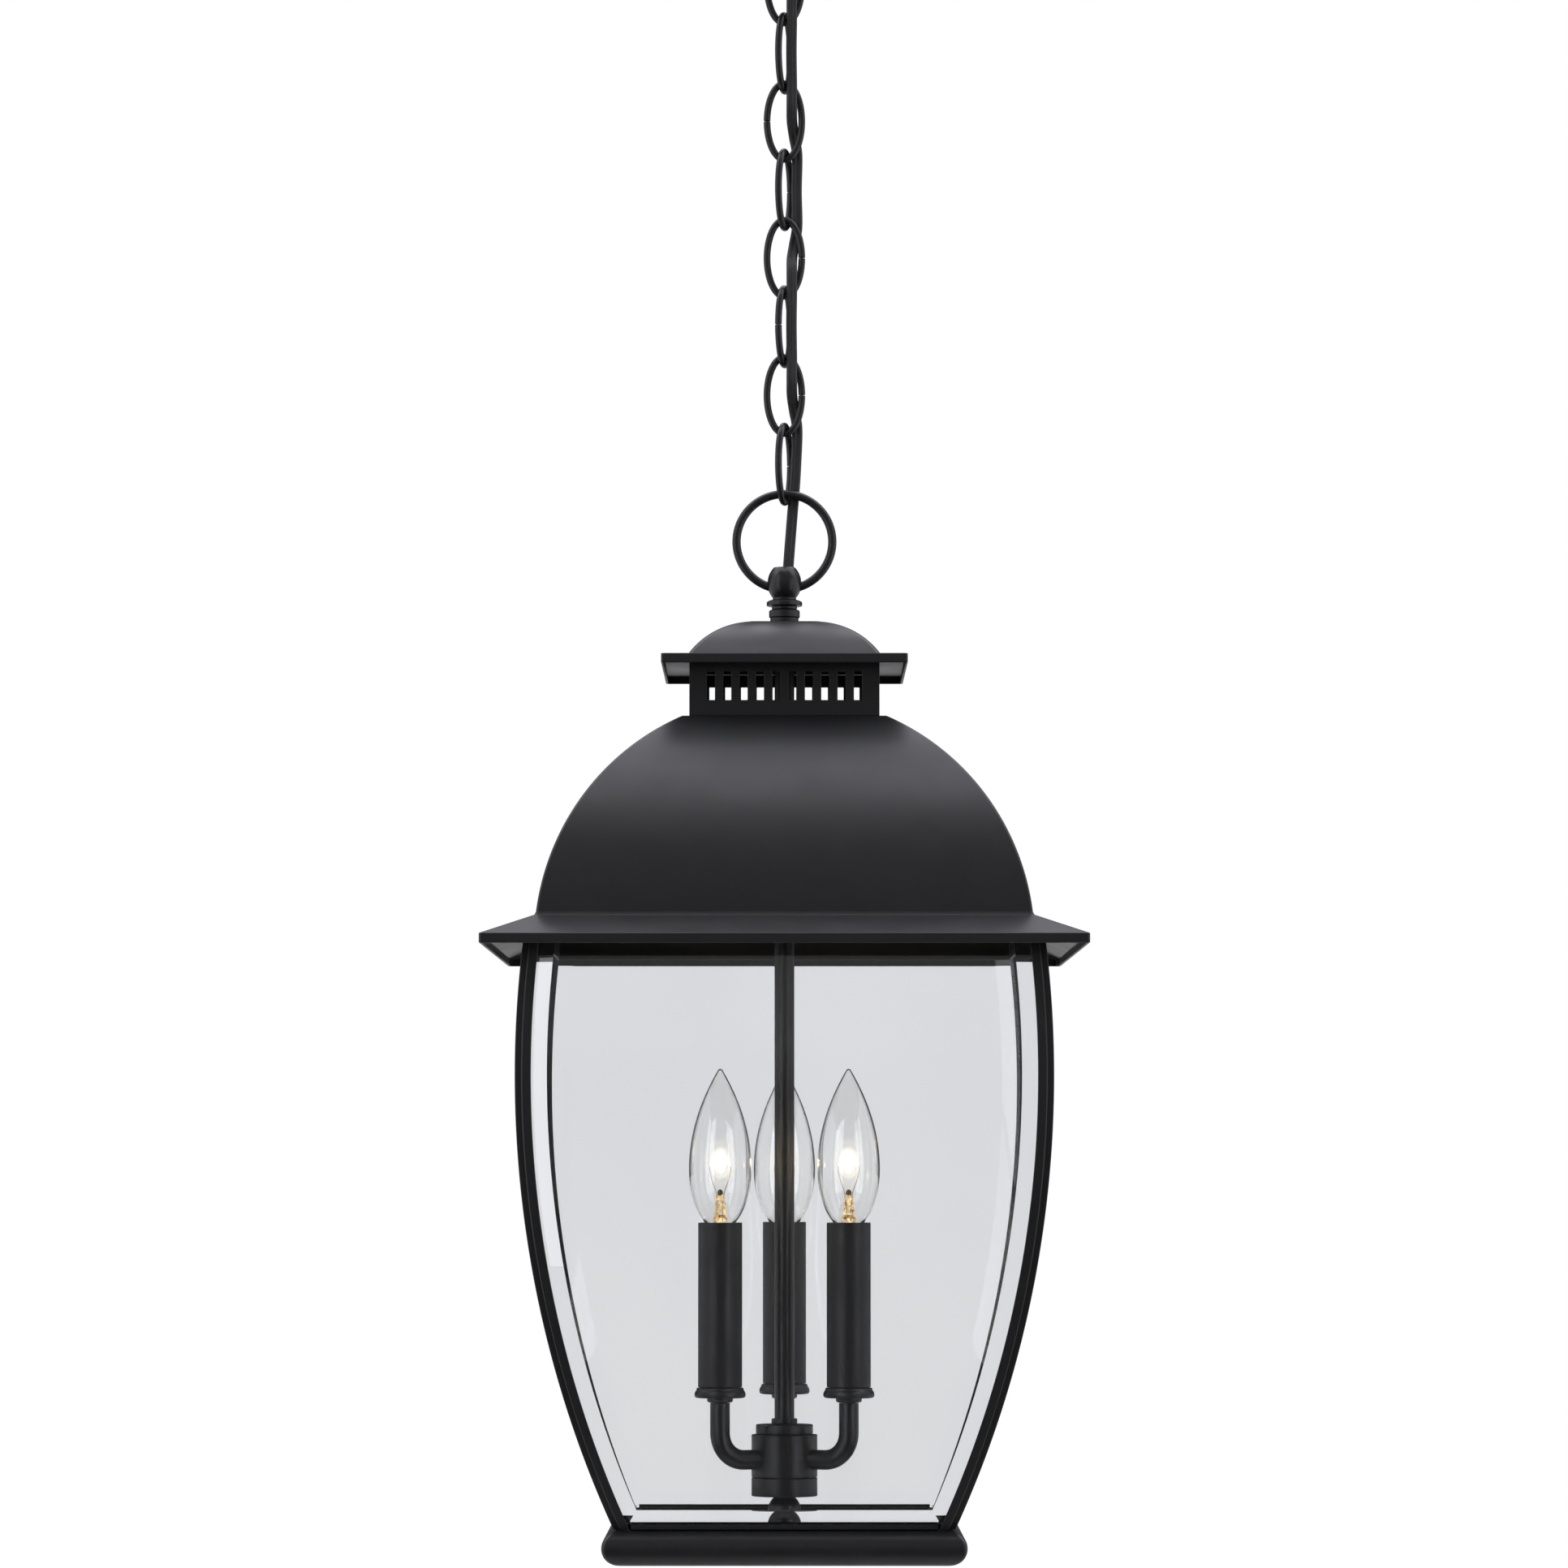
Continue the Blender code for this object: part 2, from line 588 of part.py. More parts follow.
def make_roof():
    """The bell-shaped roof: a square dome with a flared skirt and a turned-down lip, pressed from one sheet."""
    low_angle, high_angle = DOME_ANGLES
    centre = (DOME_CENTRE[0], at(DOME_CENTRE[1]))
    outer = arc(centre, DOME_RADIUS, high_angle, low_angle, 14)
    inner = arc(centre, DOME_RADIUS - SHEET, low_angle, high_angle, 14)
    top, lip_top, lip_bottom = at(DOME_TOP), at(EAVE_LIP_TOP), at(EAVE_LIP_BOTTOM)
    slope = (DOME_BOTTOM - EAVE_LIP_TOP) / (EAVE_HALF - DOME_HALF)
    under = SHEET * math.hypot(1.0, slope)
    profile = [(VENT_OPENING, top), *outer, (DOME_HALF + 0.6 * MM, at(DOME_BOTTOM))]
    profile += [(EAVE_HALF - 0.5 * MM, lip_top + 0.5 * MM * slope), (EAVE_HALF, lip_top - 0.5 * MM)]
    profile += [(EAVE_HALF, lip_bottom), (EAVE_HALF - SHEET, lip_bottom)]
    profile += [(EAVE_HALF - SHEET, lip_top + SHEET * slope - under)]
    profile += [(DOME_HALF + 0.3 * MM, at(DOME_BOTTOM) - under), *inner, (VENT_OPENING, top - SHEET)]
    squared("roof", profile, BLACK_PAINT)


# ---------------------------------------------------------------- cage


def make_posts():
    """Each corner post is one strip folded into a stepped corner, and bows with the walls."""
    step, width, thick = POST_STEP, POST_WIDTH, POST_THICKNESS
    outline = [(width, 0.0), (step, 0.0), (step, step), (0.0, step), (0.0, width)]
    outline += [(thick, width), (thick, step + thick), (step + thick, step + thick), (step + thick, thick)]
    outline += [(width, thick)]
    for name, turn in (("front_right", 0), ("rear_right", 1), ("rear_left", 2), ("front_left", 3)):
        strip = bmesh.new()
        half = wall_half(POST_BOTTOM)
        corners = [strip.verts.new((half - u, v - half, at(POST_BOTTOM))) for u, v in outline]
        face = strip.faces.new(corners)
        height = POST_BOTTOM
        rise = (POST_TOP - POST_BOTTOM) / POST_RINGS
        for level in range(POST_RINGS):
            grown = bmesh.ops.extrude_face_region(strip, geom=[face])["geom"]
            if level:
                bmesh.ops.delete(strip, geom=[face], context="FACES_ONLY")
            moved = [v for v in grown if isinstance(v, bmesh.types.BMVert)]
            face = next(f for f in grown if isinstance(f, bmesh.types.BMFace))
            shift = wall_half(height + rise) - wall_half(height)
            bmesh.ops.translate(strip, verts=moved, vec=(shift, -shift, rise))
            height += rise
        bmesh.ops.recalc_face_normals(strip, faces=strip.faces)
        mesh = bpy.data.meshes.new(f"post_{name}")
        strip.to_mesh(mesh)
        strip.free()
        add(f"post_{name}", mesh, BLACK_PAINT).rotation_euler.z = math.radians(90 * turn)


def make_panes():
    """A bowed sheet of glass between each two posts."""
    for turn, name in enumerate(("front", "right", "rear", "left")):
        bpy.ops.mesh.primitive_grid_add(x_subdivisions=1, y_subdivisions=POST_RINGS, size=2.0)
        pane = bpy.context.active_object
        for other in pane.users_collection:
            other.objects.unlink(pane)
        PARTS.objects.link(pane)
        pane.name = f"pane_{name}"
        pane.data.name = pane.name
        for vertex in pane.data.vertices:
            height = PANE_BOTTOM + (PANE_TOP - PANE_BOTTOM) * (vertex.co.y + 1) / 2
            half = wall_half(height)
            vertex.co = (vertex.co.x * (half - PANE_EDGE), PANE_SETBACK - half, at(height))
        wall = pane.modifiers.new("thickness", "SOLIDIFY")
        wall.thickness = PANE_THICKNESS
        wall.offset = -1.0
        pane.data.materials.append(CLEAR_GLASS)
        pane = made_real(pane)
        pane.rotation_euler.z = math.radians(90 * turn)


def make_frames():
    """The sill that the panes stand on, the angle frame under the roof, and the strap across it."""
    top, rim = at(SILL_TOP), SILL_RIM_OUTER
    profile = [(rim, at(SILL_RIM_TOP)), (rim, top), (SILL_OUTER, top), (SILL_OUTER, at(SILL_BOTTOM))]
    profile += [(SILL_INNER, at(SILL_BOTTOM)), (SILL_INNER, top), (rim - SHEET, top)]
    profile += [(rim - SHEET, at(SILL_RIM_TOP))]
    sill = squared("sill", profile, BLACK_PAINT)
    tools = []
    for x in (-1, 1):
        for y in (-1, 1):
            near, far = SILL_CORNER, SILL_OUTER + SHEET
            low = (min(x * near, x * far), min(y * near, y * far), at(SILL_BOTTOM) - SHEET)
            high = (max(x * near, x * far), max(y * near, y * far), at(SILL_RIM_TOP) + SHEET)
            tools.append(block(f"sill_corner_{x}_{y}".replace("-", "m"), low, high, collection=CUTTERS))
    cut(sill, *tools)

    profile = [(106.0, 300.4), (114.1, 300.4), (114.1, 289.4), (112.9, 289.4), (112.9, 299.2), (106.0, 299.2)]
    squared("top_frame", [(half * MM, at(height * MM)) for half, height in profile], BLACK_PAINT)
    half_length, half_width = 112.0 * MM, 8.0 * MM
    low = (-half_length, -half_width, at(297.0 * MM))
    strap = block("top_strap", low, (half_length, half_width, at(298.9 * MM)), BLACK_PAINT)
    cut(strap, cylinder("top_strap_hole", PIPE_HOLE, at(296.0 * MM), at(300.0 * MM)))


def make_base():
    """The round-edged tray frame, open in the middle, and the strap that the centre tube bolts down to."""
    bull = TRAY_HEIGHT / 2
    centre = (TRAY_HALF - bull, at(bull))
    profile = [(TRAY_OPENING, at(TRAY_HEIGHT)), *arc(centre, bull, 90, -90, 10)]
    profile += [(TRAY_OPENING + 6 * MM, at(0.0)), (TRAY_OPENING + 6 * MM, at(SHEET))]
    profile += [*arc(centre, bull - SHEET, -90, 90, 10), (TRAY_OPENING, at(TRAY_HEIGHT - SHEET))]
    squared("tray", profile, BLACK_PAINT)
    half_length, half_width = 74.0 * MM, 10.0 * MM
    low = (-half_length, -half_width, at(13.0 * MM))
    strap = block("base_strap", low, (half_length, half_width, at(15.0 * MM)), BLACK_PAINT)
    cut(strap, cylinder("base_strap_hole", PIPE_HOLE, at(12.0 * MM), at(15.8 * MM)))
    make_nut("bottom_nut", at(7.2 * MM), at(12.7 * MM), BLACK_PAINT)
    pipe("centre_tube", at(4.5 * MM), at(458.7 * MM), BLACK_PAINT)
    low, high = 15.3 * MM, 28.1 * MM
    middle = (low + high) / 2
    bulge = arc((0.0, 0.0), 1.0, 50, -50, 8)
    spread = (high - low) / 2 / math.sin(math.radians(50))
    profile = [(8.0 * MM * x, at(middle + spread * z)) for x, z in bulge]
    profile += [(PIPE_HOLE, at(low)), (PIPE_HOLE, at(high))]
    turned("ball_spacer", profile, BLACK_PAINT, closed=True)


# ---------------------------------------------------------------- candles


def candle_places():
    turns = [math.radians(FIRST_CANDLE + 360 * i / CANDLES) for i in range(CANDLES)]
    return [(i + 1, turn) for i, turn in enumerate(turns)]


def make_arm(number, turn, collection=PARTS, radius=ARM_RADIUS, name="arm"):
    """A tube that comes out of the cluster level and turns up to its candle."""
    centre = (CANDLE_RING - ARM_BEND, at(ARM_HEIGHT) + ARM_BEND)
    path = [(CLUSTER_RADIUS - 3.5 * MM, at(ARM_HEIGHT)), *arc(centre, ARM_BEND, -90, 0, 7)]
    path += [(CANDLE_RING, at(ARM_TOP))]
    points = [(r * math.cos(turn), r * math.sin(turn), z) for r, z in path]
    return wire(f"{name}_{number}", points, radius, BLACK_PAINT, collection=collection)


def make_cluster():
    low, high, wall = at(36.5 * MM), at(57.3 * MM), CLUSTER_WALL
    radius = CLUSTER_RADIUS
    profile = [(radius - 0.4 * MM, high), (radius, high - 0.4 * MM), (radius, low), (radius - wall, low)]
    profile += [(radius - wall, high - wall), (PIPE_HOLE, high - wall), (PIPE_HOLE, high)]
    body = turned("cluster_body", profile, BLACK_PAINT, closed=True)
    holes = [
        make_arm(number, turn, CUTTERS, ARM_HOLE, "arm_hole") for number, turn in candle_places()
    ]
    cut(body, *holes)
    top = [(CLUSTER_CAP_RADIUS - 0.5 * MM, at(62.8 * MM)), (CLUSTER_CAP_RADIUS, at(62.3 * MM))]
    top += [(CLUSTER_CAP_RADIUS, at(57.6 * MM)), (PIPE_HOLE, at(57.6 * MM)), (PIPE_HOLE, at(62.8 * MM))]
    turned("cluster_cap", top, BLACK_PAINT, closed=True)
    low, high = at(28.4 * MM), at(36.2 * MM)
    cover = [(radius, high), (radius, low + 0.4 * MM), (radius - 0.4 * MM, low), (PIPE_HOLE, low)]
    cover += [(PIPE_HOLE, low + wall), (radius - wall, low + wall), (radius - wall, high)]
    turned("cluster_cover", cover, BLACK_PAINT, closed=True)
    ring_of("tube_nut", 6.2 * MM, PIPE_HOLE, at(63.1 * MM), at(65.6 * MM), BLACK_PAINT)


def make_candle(number, turn):
    where = (CANDLE_RING * math.cos(turn), CANDLE_RING * math.sin(turn))
    make_arm(number, turn)
    cup = [(0.0, 80.8), (11.1, 80.8), (11.3, 79.0), (12.1, 77.9), (12.1, 76.9), (11.5, 76.2)]
    cup += [(6.2, 75.9), (6.2, 74.6), (5.6, 73.9), (0.0, 73.9)]
    turned(f"cup_{number}", [(r * MM, at(h * MM)) for r, h in cup], BLACK_PAINT, where)
    cover = [(COVER_RADIUS, at(COVER_TOP)), (COVER_RADIUS, at(COVER_BOTTOM))]
    cover += [(COVER_BORE, at(COVER_BOTTOM)), (COVER_BORE, at(COVER_TOP))]
    turned(f"candle_cover_{number}", cover, BLACK_PAINT, where, closed=True)
    socket = [(6.5, 152.0), (8.4, 152.0), (8.4, 100.0), (3.0, 98.0), (3.0, 81.1), (0.0, 81.1)]
    socket = [(0.0, 130.5), (6.5, 130.5), *socket]
    turned(f"socket_{number}", [(r * MM, at(h * MM)) for r, h in socket], SOCKET_PLASTIC, where)
    turned(f"bulb_{number}", bulb_profile(), BULB_GLASS, where)


def bulb_profile():
    """A torpedo lamp: a parabola above its widest place, an ellipse below it, then the neck and the screw base."""
    length = BULB_TIP - BULB_WIDEST
    upper = [1 - (i / 8) ** 2 for i in range(8)]  # closer together near the tip
    profile = [(0.0, BULB_TIP)]
    profile += [(BULB_RADIUS * (1 - share**2), BULB_WIDEST + length * share) for share in upper if share < 1]
    neck_turn = math.acos(BULB_NECK_RADIUS / BULB_RADIUS)
    for i in range(7):
        turn = neck_turn * i / 6
        profile.append((BULB_RADIUS * math.cos(turn), BULB_WIDEST - BULB_SHOULDER * math.sin(turn)))
    profile += [(BULB_NECK_RADIUS, 153.0 * MM), (5.95 * MM, 151.0 * MM), (5.95 * MM, 135.5 * MM)]
    profile += [(4.2 * MM, 133.0 * MM), (1.6 * MM, 132.0 * MM), (0.0, 131.0 * MM)]
    return [(radius, at(height)) for radius, height in profile]


# ---------------------------------------------------------------- the whole lantern


make_crossbar()
make_canopy()
make_ceiling_hardware()
for link_index in range(len(LINKS)):
    make_link(link_index)
make_cord()
make_ring_and_ball()
make_neck()
make_cap()
make_vent_box()
make_roof()
make_posts()
make_panes()
make_frames()
make_base()
make_cluster()
for candle_number, candle_turn in candle_places():
    make_candle(candle_number, candle_turn)
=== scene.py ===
"""The looks of the hanging lantern: smooth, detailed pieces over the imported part, and the studio.

Metres, +Z up, the front faces -Y. Sizes typed in millimetres repeat those of the part.
"""

import json
import math

import bmesh
import bpy
from mathutils import Matrix, Vector


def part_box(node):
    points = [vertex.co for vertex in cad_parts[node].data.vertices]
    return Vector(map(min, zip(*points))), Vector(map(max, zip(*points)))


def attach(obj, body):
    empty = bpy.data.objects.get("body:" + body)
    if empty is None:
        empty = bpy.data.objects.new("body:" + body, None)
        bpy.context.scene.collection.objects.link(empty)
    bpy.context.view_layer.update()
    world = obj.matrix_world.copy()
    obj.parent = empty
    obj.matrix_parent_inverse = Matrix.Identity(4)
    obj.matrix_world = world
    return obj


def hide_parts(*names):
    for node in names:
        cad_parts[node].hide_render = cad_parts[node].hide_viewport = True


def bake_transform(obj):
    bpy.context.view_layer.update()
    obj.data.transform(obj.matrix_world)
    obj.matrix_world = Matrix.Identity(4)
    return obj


MM = 0.001
ROUND = 64  # sides of a turned piece
WIRE_SIDES = 20
CORNER_STEPS = 4  # sides of a square piece's rounded corner
EASE_STEPS = 3  # sides of a profile's eased corner

# Sizes that several pieces share, in millimetres
SHEET = 1.2  # thickness of the pressed steel
THREAD = 4.75  # radius of the threaded tube
BORE = 5.05  # radius of the holes that the threaded tube passes through
TUBE_BORE = 3.3  # radius of the hole in the threaded tube

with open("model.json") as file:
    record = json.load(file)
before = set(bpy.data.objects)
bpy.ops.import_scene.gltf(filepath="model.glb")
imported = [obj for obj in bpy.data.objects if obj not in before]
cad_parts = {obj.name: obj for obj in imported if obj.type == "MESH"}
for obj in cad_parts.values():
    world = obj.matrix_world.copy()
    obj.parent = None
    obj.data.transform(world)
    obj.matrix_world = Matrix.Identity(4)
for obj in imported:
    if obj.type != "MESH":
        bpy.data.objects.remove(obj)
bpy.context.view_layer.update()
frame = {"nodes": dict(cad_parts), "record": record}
BODY = {
    node: body
    for body, nodes in frame["record"]["behaviour"]["bodies"].items()
    for node in nodes
}
TRAY_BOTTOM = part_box("tray")[0].z


def at(height):
    """The z of a height in millimetres above the tray's underside."""
    return TRAY_BOTTOM + height * MM


# ---------------------------------------------------------------- camera

# Fitted to the photograph's eaves, sills and posts
CAMERA_AT = (-0.0002, -2.755, -0.66045)
CAMERA_TILT = 4.0515  # degrees above the level
CAMERA_LENS = 131.27
CAMERA_SENSOR = 36.0

camera = bpy.data.objects.new("camera", bpy.data.cameras.new("camera"))
bpy.context.scene.collection.objects.link(camera)
camera.location = CAMERA_AT
camera.rotation_euler = (math.radians(90 + CAMERA_TILT), 0.0, 0.0)
camera.data.lens = CAMERA_LENS
camera.data.sensor_width = CAMERA_SENSOR
bpy.context.scene.camera = camera


# ---------------------------------------------------------------- materials


def material(name, colour, roughness, metallic=0.0, transmission=0.0, ior=1.5):
    made = bpy.data.materials.new(name)
    made.use_nodes = True
    shader = made.node_tree.nodes["Principled BSDF"]
    shader.inputs["Base Color"].default_value = (*colour, 1.0)
    shader.inputs["Roughness"].default_value = roughness
    shader.inputs["Metallic"].default_value = metallic
    shader.inputs["Transmission Weight"].default_value = transmission
    shader.inputs["IOR"].default_value = ior
    made.diffuse_color = (*colour, 1.0)
    return made


def emitter(name, colour, strength):
    """A matt black material that only gives off light."""
    made = material(name, (0.0, 0.0, 0.0), 1.0)
    shader = made.node_tree.nodes["Principled BSDF"]
    shader.inputs["Specular IOR Level"].default_value = 0.0
    shader.inputs["Emission Color"].default_value = (*colour, 1.0)
    shader.inputs["Emission Strength"].default_value = strength
    return made


def set_ramp(ramp, stops):
    """Gives a new colour ramp its stops, each (position, colour)."""
    for _ in range(len(stops) - 2):
        ramp.color_ramp.elements.new(0.5)
    for element, (position, colour) in zip(ramp.color_ramp.elements, stops):
        element.position = position
        element.color = (*colour, 1.0)


def add_noise(made, scale, detail=2.0, stretch=(1.0, 1.0, 1.0)):
    """Noise in the piece's own metres, so that its grain is the same on pieces of any size."""
    nodes, links = made.node_tree.nodes, made.node_tree.links
    place = nodes.new("ShaderNodeTexCoord")
    mapping = nodes.new("ShaderNodeMapping")
    mapping.inputs["Scale"].default_value = stretch
    noise = nodes.new("ShaderNodeTexNoise")
    noise.inputs["Scale"].default_value = scale
    noise.inputs["Detail"].default_value = detail
    links.new(place.outputs["Object"], mapping.inputs["Vector"])
    links.new(mapping.outputs["Vector"], noise.inputs["Vector"])
    return noise.outputs["Fac"]


def vary(made, socket, factor, low, high, start=0.3, end=0.7):
    """Lets a factor move one of the shader's sockets between two values or colours."""
    nodes, links = made.node_tree.nodes, made.node_tree.links
    target = nodes["Principled BSDF"].inputs[socket]
    if isinstance(low, tuple):
        mix = nodes.new("ShaderNodeValToRGB")
        set_ramp(mix, ((start, low), (end, high)))
        links.new(factor, mix.inputs["Fac"])
        links.new(mix.outputs["Color"], target)
    else:
        mix = nodes.new("ShaderNodeMapRange")
        mix.inputs["From Min"].default_value = start
        mix.inputs["From Max"].default_value = end
        mix.inputs["To Min"].default_value = low
        mix.inputs["To Max"].default_value = high
        links.new(factor, mix.inputs["Value"])
        links.new(mix.outputs["Result"], target)


def bump(made, *layers):
    """Raises the surface by noise; each layer is (factor, height in metres)."""
    nodes, links = made.node_tree.nodes, made.node_tree.links
    normal = None
    for factor, height in layers:
        layer = nodes.new("ShaderNodeBump")
        layer.inputs["Strength"].default_value = 1.0
        layer.inputs["Distance"].default_value = height
        links.new(factor, layer.inputs["Height"])
        if normal:
            links.new(normal, layer.inputs["Normal"])
        normal = layer.outputs["Normal"]
    links.new(normal, nodes["Principled BSDF"].inputs["Normal"])


def powder_coat(name, colour, roughness, grain):
    """Satin powder coat: fine orange peel, and a sheen that varies a little over the piece."""
    made = material(name, colour, roughness)
    darker, lighter = (tuple(c * share for c in colour) for share in (0.88, 1.12))
    vary(made, "Base Color", add_noise(made, 14.0, 3.0), darker, lighter)
    vary(made, "Roughness", add_noise(made, 45.0, 4.0), roughness - 0.04, roughness + 0.04)
    peel, fine_peel = add_noise(made, 520.0, 2.0), add_noise(made, 1900.0, 1.0)
    bump(made, (peel, grain), (fine_peel, grain / 4))
    return made


PAINT = powder_coat("black_paint", (0.0050, 0.0052, 0.0060), 0.41, 0.000006)
SLEEVE = powder_coat("candle_sleeve", (0.0085, 0.0087, 0.0094), 0.46, 0.0000025)
CHAIN = powder_coat("black_chain", (0.0050, 0.0052, 0.0058), 0.29, 0.000012)

CORD = material("black_cord", (0.012, 0.012, 0.0125), 0.42)
cord_lines = add_noise(CORD, 900.0, 2.0, (1.0, 1.0, 0.03))
vary(CORD, "Roughness", add_noise(CORD, 260.0, 2.0), 0.36, 0.5)
vary(CORD, "Base Color", cord_lines, (0.010, 0.010, 0.0105), (0.015, 0.015, 0.0155))
bump(CORD, (cord_lines, 0.00003))

ZINC = material("zinc_steel", (0.55, 0.56, 0.58), 0.32, metallic=1.0)
vary(ZINC, "Base Color", add_noise(ZINC, 160.0, 4.0), (0.46, 0.47, 0.49), (0.62, 0.63, 0.64))
vary(ZINC, "Roughness", add_noise(ZINC, 700.0, 2.0), 0.24, 0.42)
bump(ZINC, (add_noise(ZINC, 1400.0, 2.0), 0.00001))

BRASS = material("nickelled_brass", (0.66, 0.6, 0.48), 0.28, metallic=1.0)
vary(BRASS, "Base Color", add_noise(BRASS, 300.0, 3.0), (0.6, 0.53, 0.4), (0.7, 0.66, 0.56))
vary(BRASS, "Roughness", add_noise(BRASS, 800.0, 2.0), 0.22, 0.38)

SOCKET = material("socket_plastic", (0.03, 0.03, 0.031), 0.5)
socket_cloud = add_noise(SOCKET, 200.0, 3.0)
vary(SOCKET, "Base Color", socket_cloud, (0.022, 0.022, 0.023), (0.038, 0.038, 0.039))
vary(SOCKET, "Roughness", add_noise(SOCKET, 600.0, 2.0), 0.42, 0.6)
bump(SOCKET, (add_noise(SOCKET, 2500.0, 1.0), 0.00001))

PANE = material("clear_glass", (0.93, 0.94, 0.955), 0.0, transmission=1.0)
vary(PANE, "Base Color", add_noise(PANE, 9.0, 2.0), (0.874, 0.881, 0.889), (0.898, 0.904, 0.909))
bump(PANE, (add_noise(PANE, 16.0, 1.0), 0.00006))

BULB = material("bulb_glass", (0.985, 0.985, 0.98), 0.0, transmission=1.0, ior=1.48)
vary(BULB, "Base Color", add_noise(BULB, 120.0, 2.0), (0.975, 0.975, 0.965), (0.99, 0.99, 0.988))
bump(BULB, (add_noise(BULB, 90.0, 1.0), 0.00003))

STEM_PAINTED_GLOW = material("stem_glass_painted_glow", (0.9, 0.72, 0.42), 0.02, transmission=1.0)
vary(STEM_PAINTED_GLOW, "Base Color", add_noise(STEM_PAINTED_GLOW, 400.0, 3.0), (0.8, 0.56, 0.26), (0.97, 0.88, 0.68))
bump(STEM_PAINTED_GLOW, (add_noise(STEM_PAINTED_GLOW, 420.0, 2.0), 0.0003))
# Painted glow: the stem glass is given a faint golden emission, patchy by noise as painted glints,
# standing in for the filament's light on it; the stem is no lamp
stem_painted_glow_shader = STEM_PAINTED_GLOW.node_tree.nodes["Principled BSDF"]
stem_painted_glow_shader.inputs["Emission Color"].default_value = (1.0, 0.66, 0.28, 1.0)
vary(STEM_PAINTED_GLOW, "Emission Strength", add_noise(STEM_PAINTED_GLOW, 700.0, 2.0), 0.0, 0.7, 0.45, 0.7)

BEAD = material("dark_bead", (0.05, 0.035, 0.025), 0.15)
vary(BEAD, "Base Color", add_noise(BEAD, 900.0, 2.0), (0.03, 0.02, 0.015), (0.12, 0.08, 0.05))

WIRE = material("lead_wire", (0.5, 0.46, 0.4), 0.35, metallic=1.0)
vary(WIRE, "Base Color", add_noise(WIRE, 900.0, 2.0), (0.4, 0.36, 0.3), (0.6, 0.57, 0.5))

FILAMENT = material("lit_filament", (1.0, 0.85, 0.6), 0.5)
heat = add_noise(FILAMENT, 350.0, 1.0)
vary(FILAMENT, "Emission Color", heat, (1.0, 0.66, 0.3), (1.0, 0.82, 0.55))
FILAMENT.node_tree.nodes["Principled BSDF"].inputs["Emission Strength"].default_value = 240.0

# The shells of glow round a filament: brightness, cover, and half their width and height in mm
GLOW_SHELLS = ((2.6, 0.32, 3.0, 4.8), (1.8, 0.2, 4.8, 7.6), (1.4, 0.1, 7.8, 11.0))
GLOW = []
for number, (level, cover, _, _) in enumerate(GLOW_SHELLS):
    look = emitter(f"lamp_glow_{number + 1}", (1.0, 1.0, 1.0), level)
    vary(look, "Emission Color", add_noise(look, 500.0, 1.0), (1.0, 0.9, 0.74), (1.0, 0.97, 0.9))
    vary(look, "Alpha", add_noise(look, 330.0, 2.0), cover * 0.6, cover * 1.3)
    GLOW.append(look)


# ---------------------------------------------------------------- modelling helpers


def place(obj, node):
    """Hangs a piece on its body and hides the node it stands for."""
    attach(obj, BODY[node])
    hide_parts(node)


def weight_normals(obj):
    normals = obj.modifiers.new("normals", "WEIGHTED_NORMAL")
    normals.keep_sharp = True


def from_mesh(name, mesh, look, sharp=35.0, weighted=False):
    """An object from a mesh, smooth except at edges sharper than this many degrees."""
    work = bmesh.new()
    work.from_mesh(mesh)
    bmesh.ops.remove_doubles(work, verts=work.verts, dist=1e-7)
    bmesh.ops.recalc_face_normals(work, faces=work.faces)
    work.to_mesh(mesh)
    work.free()
    mesh.materials.clear()
    mesh.materials.append(look)
    mesh.shade_smooth()
    mesh.set_sharp_from_angle(angle=math.radians(sharp))
    obj = bpy.data.objects.new(name, mesh)
    bpy.context.scene.collection.objects.link(obj)
    if weighted:
        weight_normals(obj)
    return obj


def loft(name, rings, look, loop=False, caps=True, sharp=35.0, weighted=False):
    """A skin over rings of points, each ring closed."""
    count = len(rings[0])
    points = [p for ring in rings for p in ring]
    faces = []
    for i in range(len(rings) if loop else len(rings) - 1):
        a, b = i * count, (i + 1) % len(rings) * count
        steps = [(k, (k + 1) % count) for k in range(count)]
        faces += [(a + k, a + after, b + after, b + k) for k, after in steps]
    if caps and not loop:
        faces.append(tuple(range(count)))
        faces.append(tuple(range(len(points) - count, len(points))))
    mesh = bpy.data.meshes.new(name)
    mesh.from_pydata(points, [], faces)
    return from_mesh(name, mesh, look, sharp, weighted)


FLAT_CORNER = math.radians(168)  # corners as open as this stay as they are


def rounded(profile, radius, closed=False):
    """The profile with each of its corners eased, less where its sides are short."""
    points = [Vector(p) for p in profile]
    made = []
    for i, point in enumerate(points):
        ends = not closed and i in (0, len(points) - 1)
        before, after = points[i - 1] - point, points[(i + 1) % len(points)] - point
        if ends or before.angle(after) > FLAT_CORNER:
            made.append(tuple(point))
            continue
        back = radius / math.tan(before.angle(after) / 2)
        back = min(back, 0.45 * before.length, 0.45 * after.length)
        start, end = point + before.normalized() * back, point + after.normalized() * back
        for step in range(EASE_STEPS + 1):
            t = step / EASE_STEPS
            made.append(tuple(start * (1 - t) ** 2 + point * 2 * t * (1 - t) + end * t**2))
    return made


def arc(centre, radius, start, end, count):
    """Points on an arc between two angles in degrees."""
    steps = [math.radians(start + (end - start) * i / count) for i in range(count + 1)]
    return [(centre[0] + radius * math.cos(a), centre[1] + radius * math.sin(a)) for a in steps]


def full_turn(count):
    """The angles of this many even steps round a circle."""
    return [math.tau * i / count for i in range(count)]


def circle(radius, z, where, sides):
    x, y = where
    return [(x + radius * math.cos(a), y + radius * math.sin(a), z) for a in full_turn(sides)]


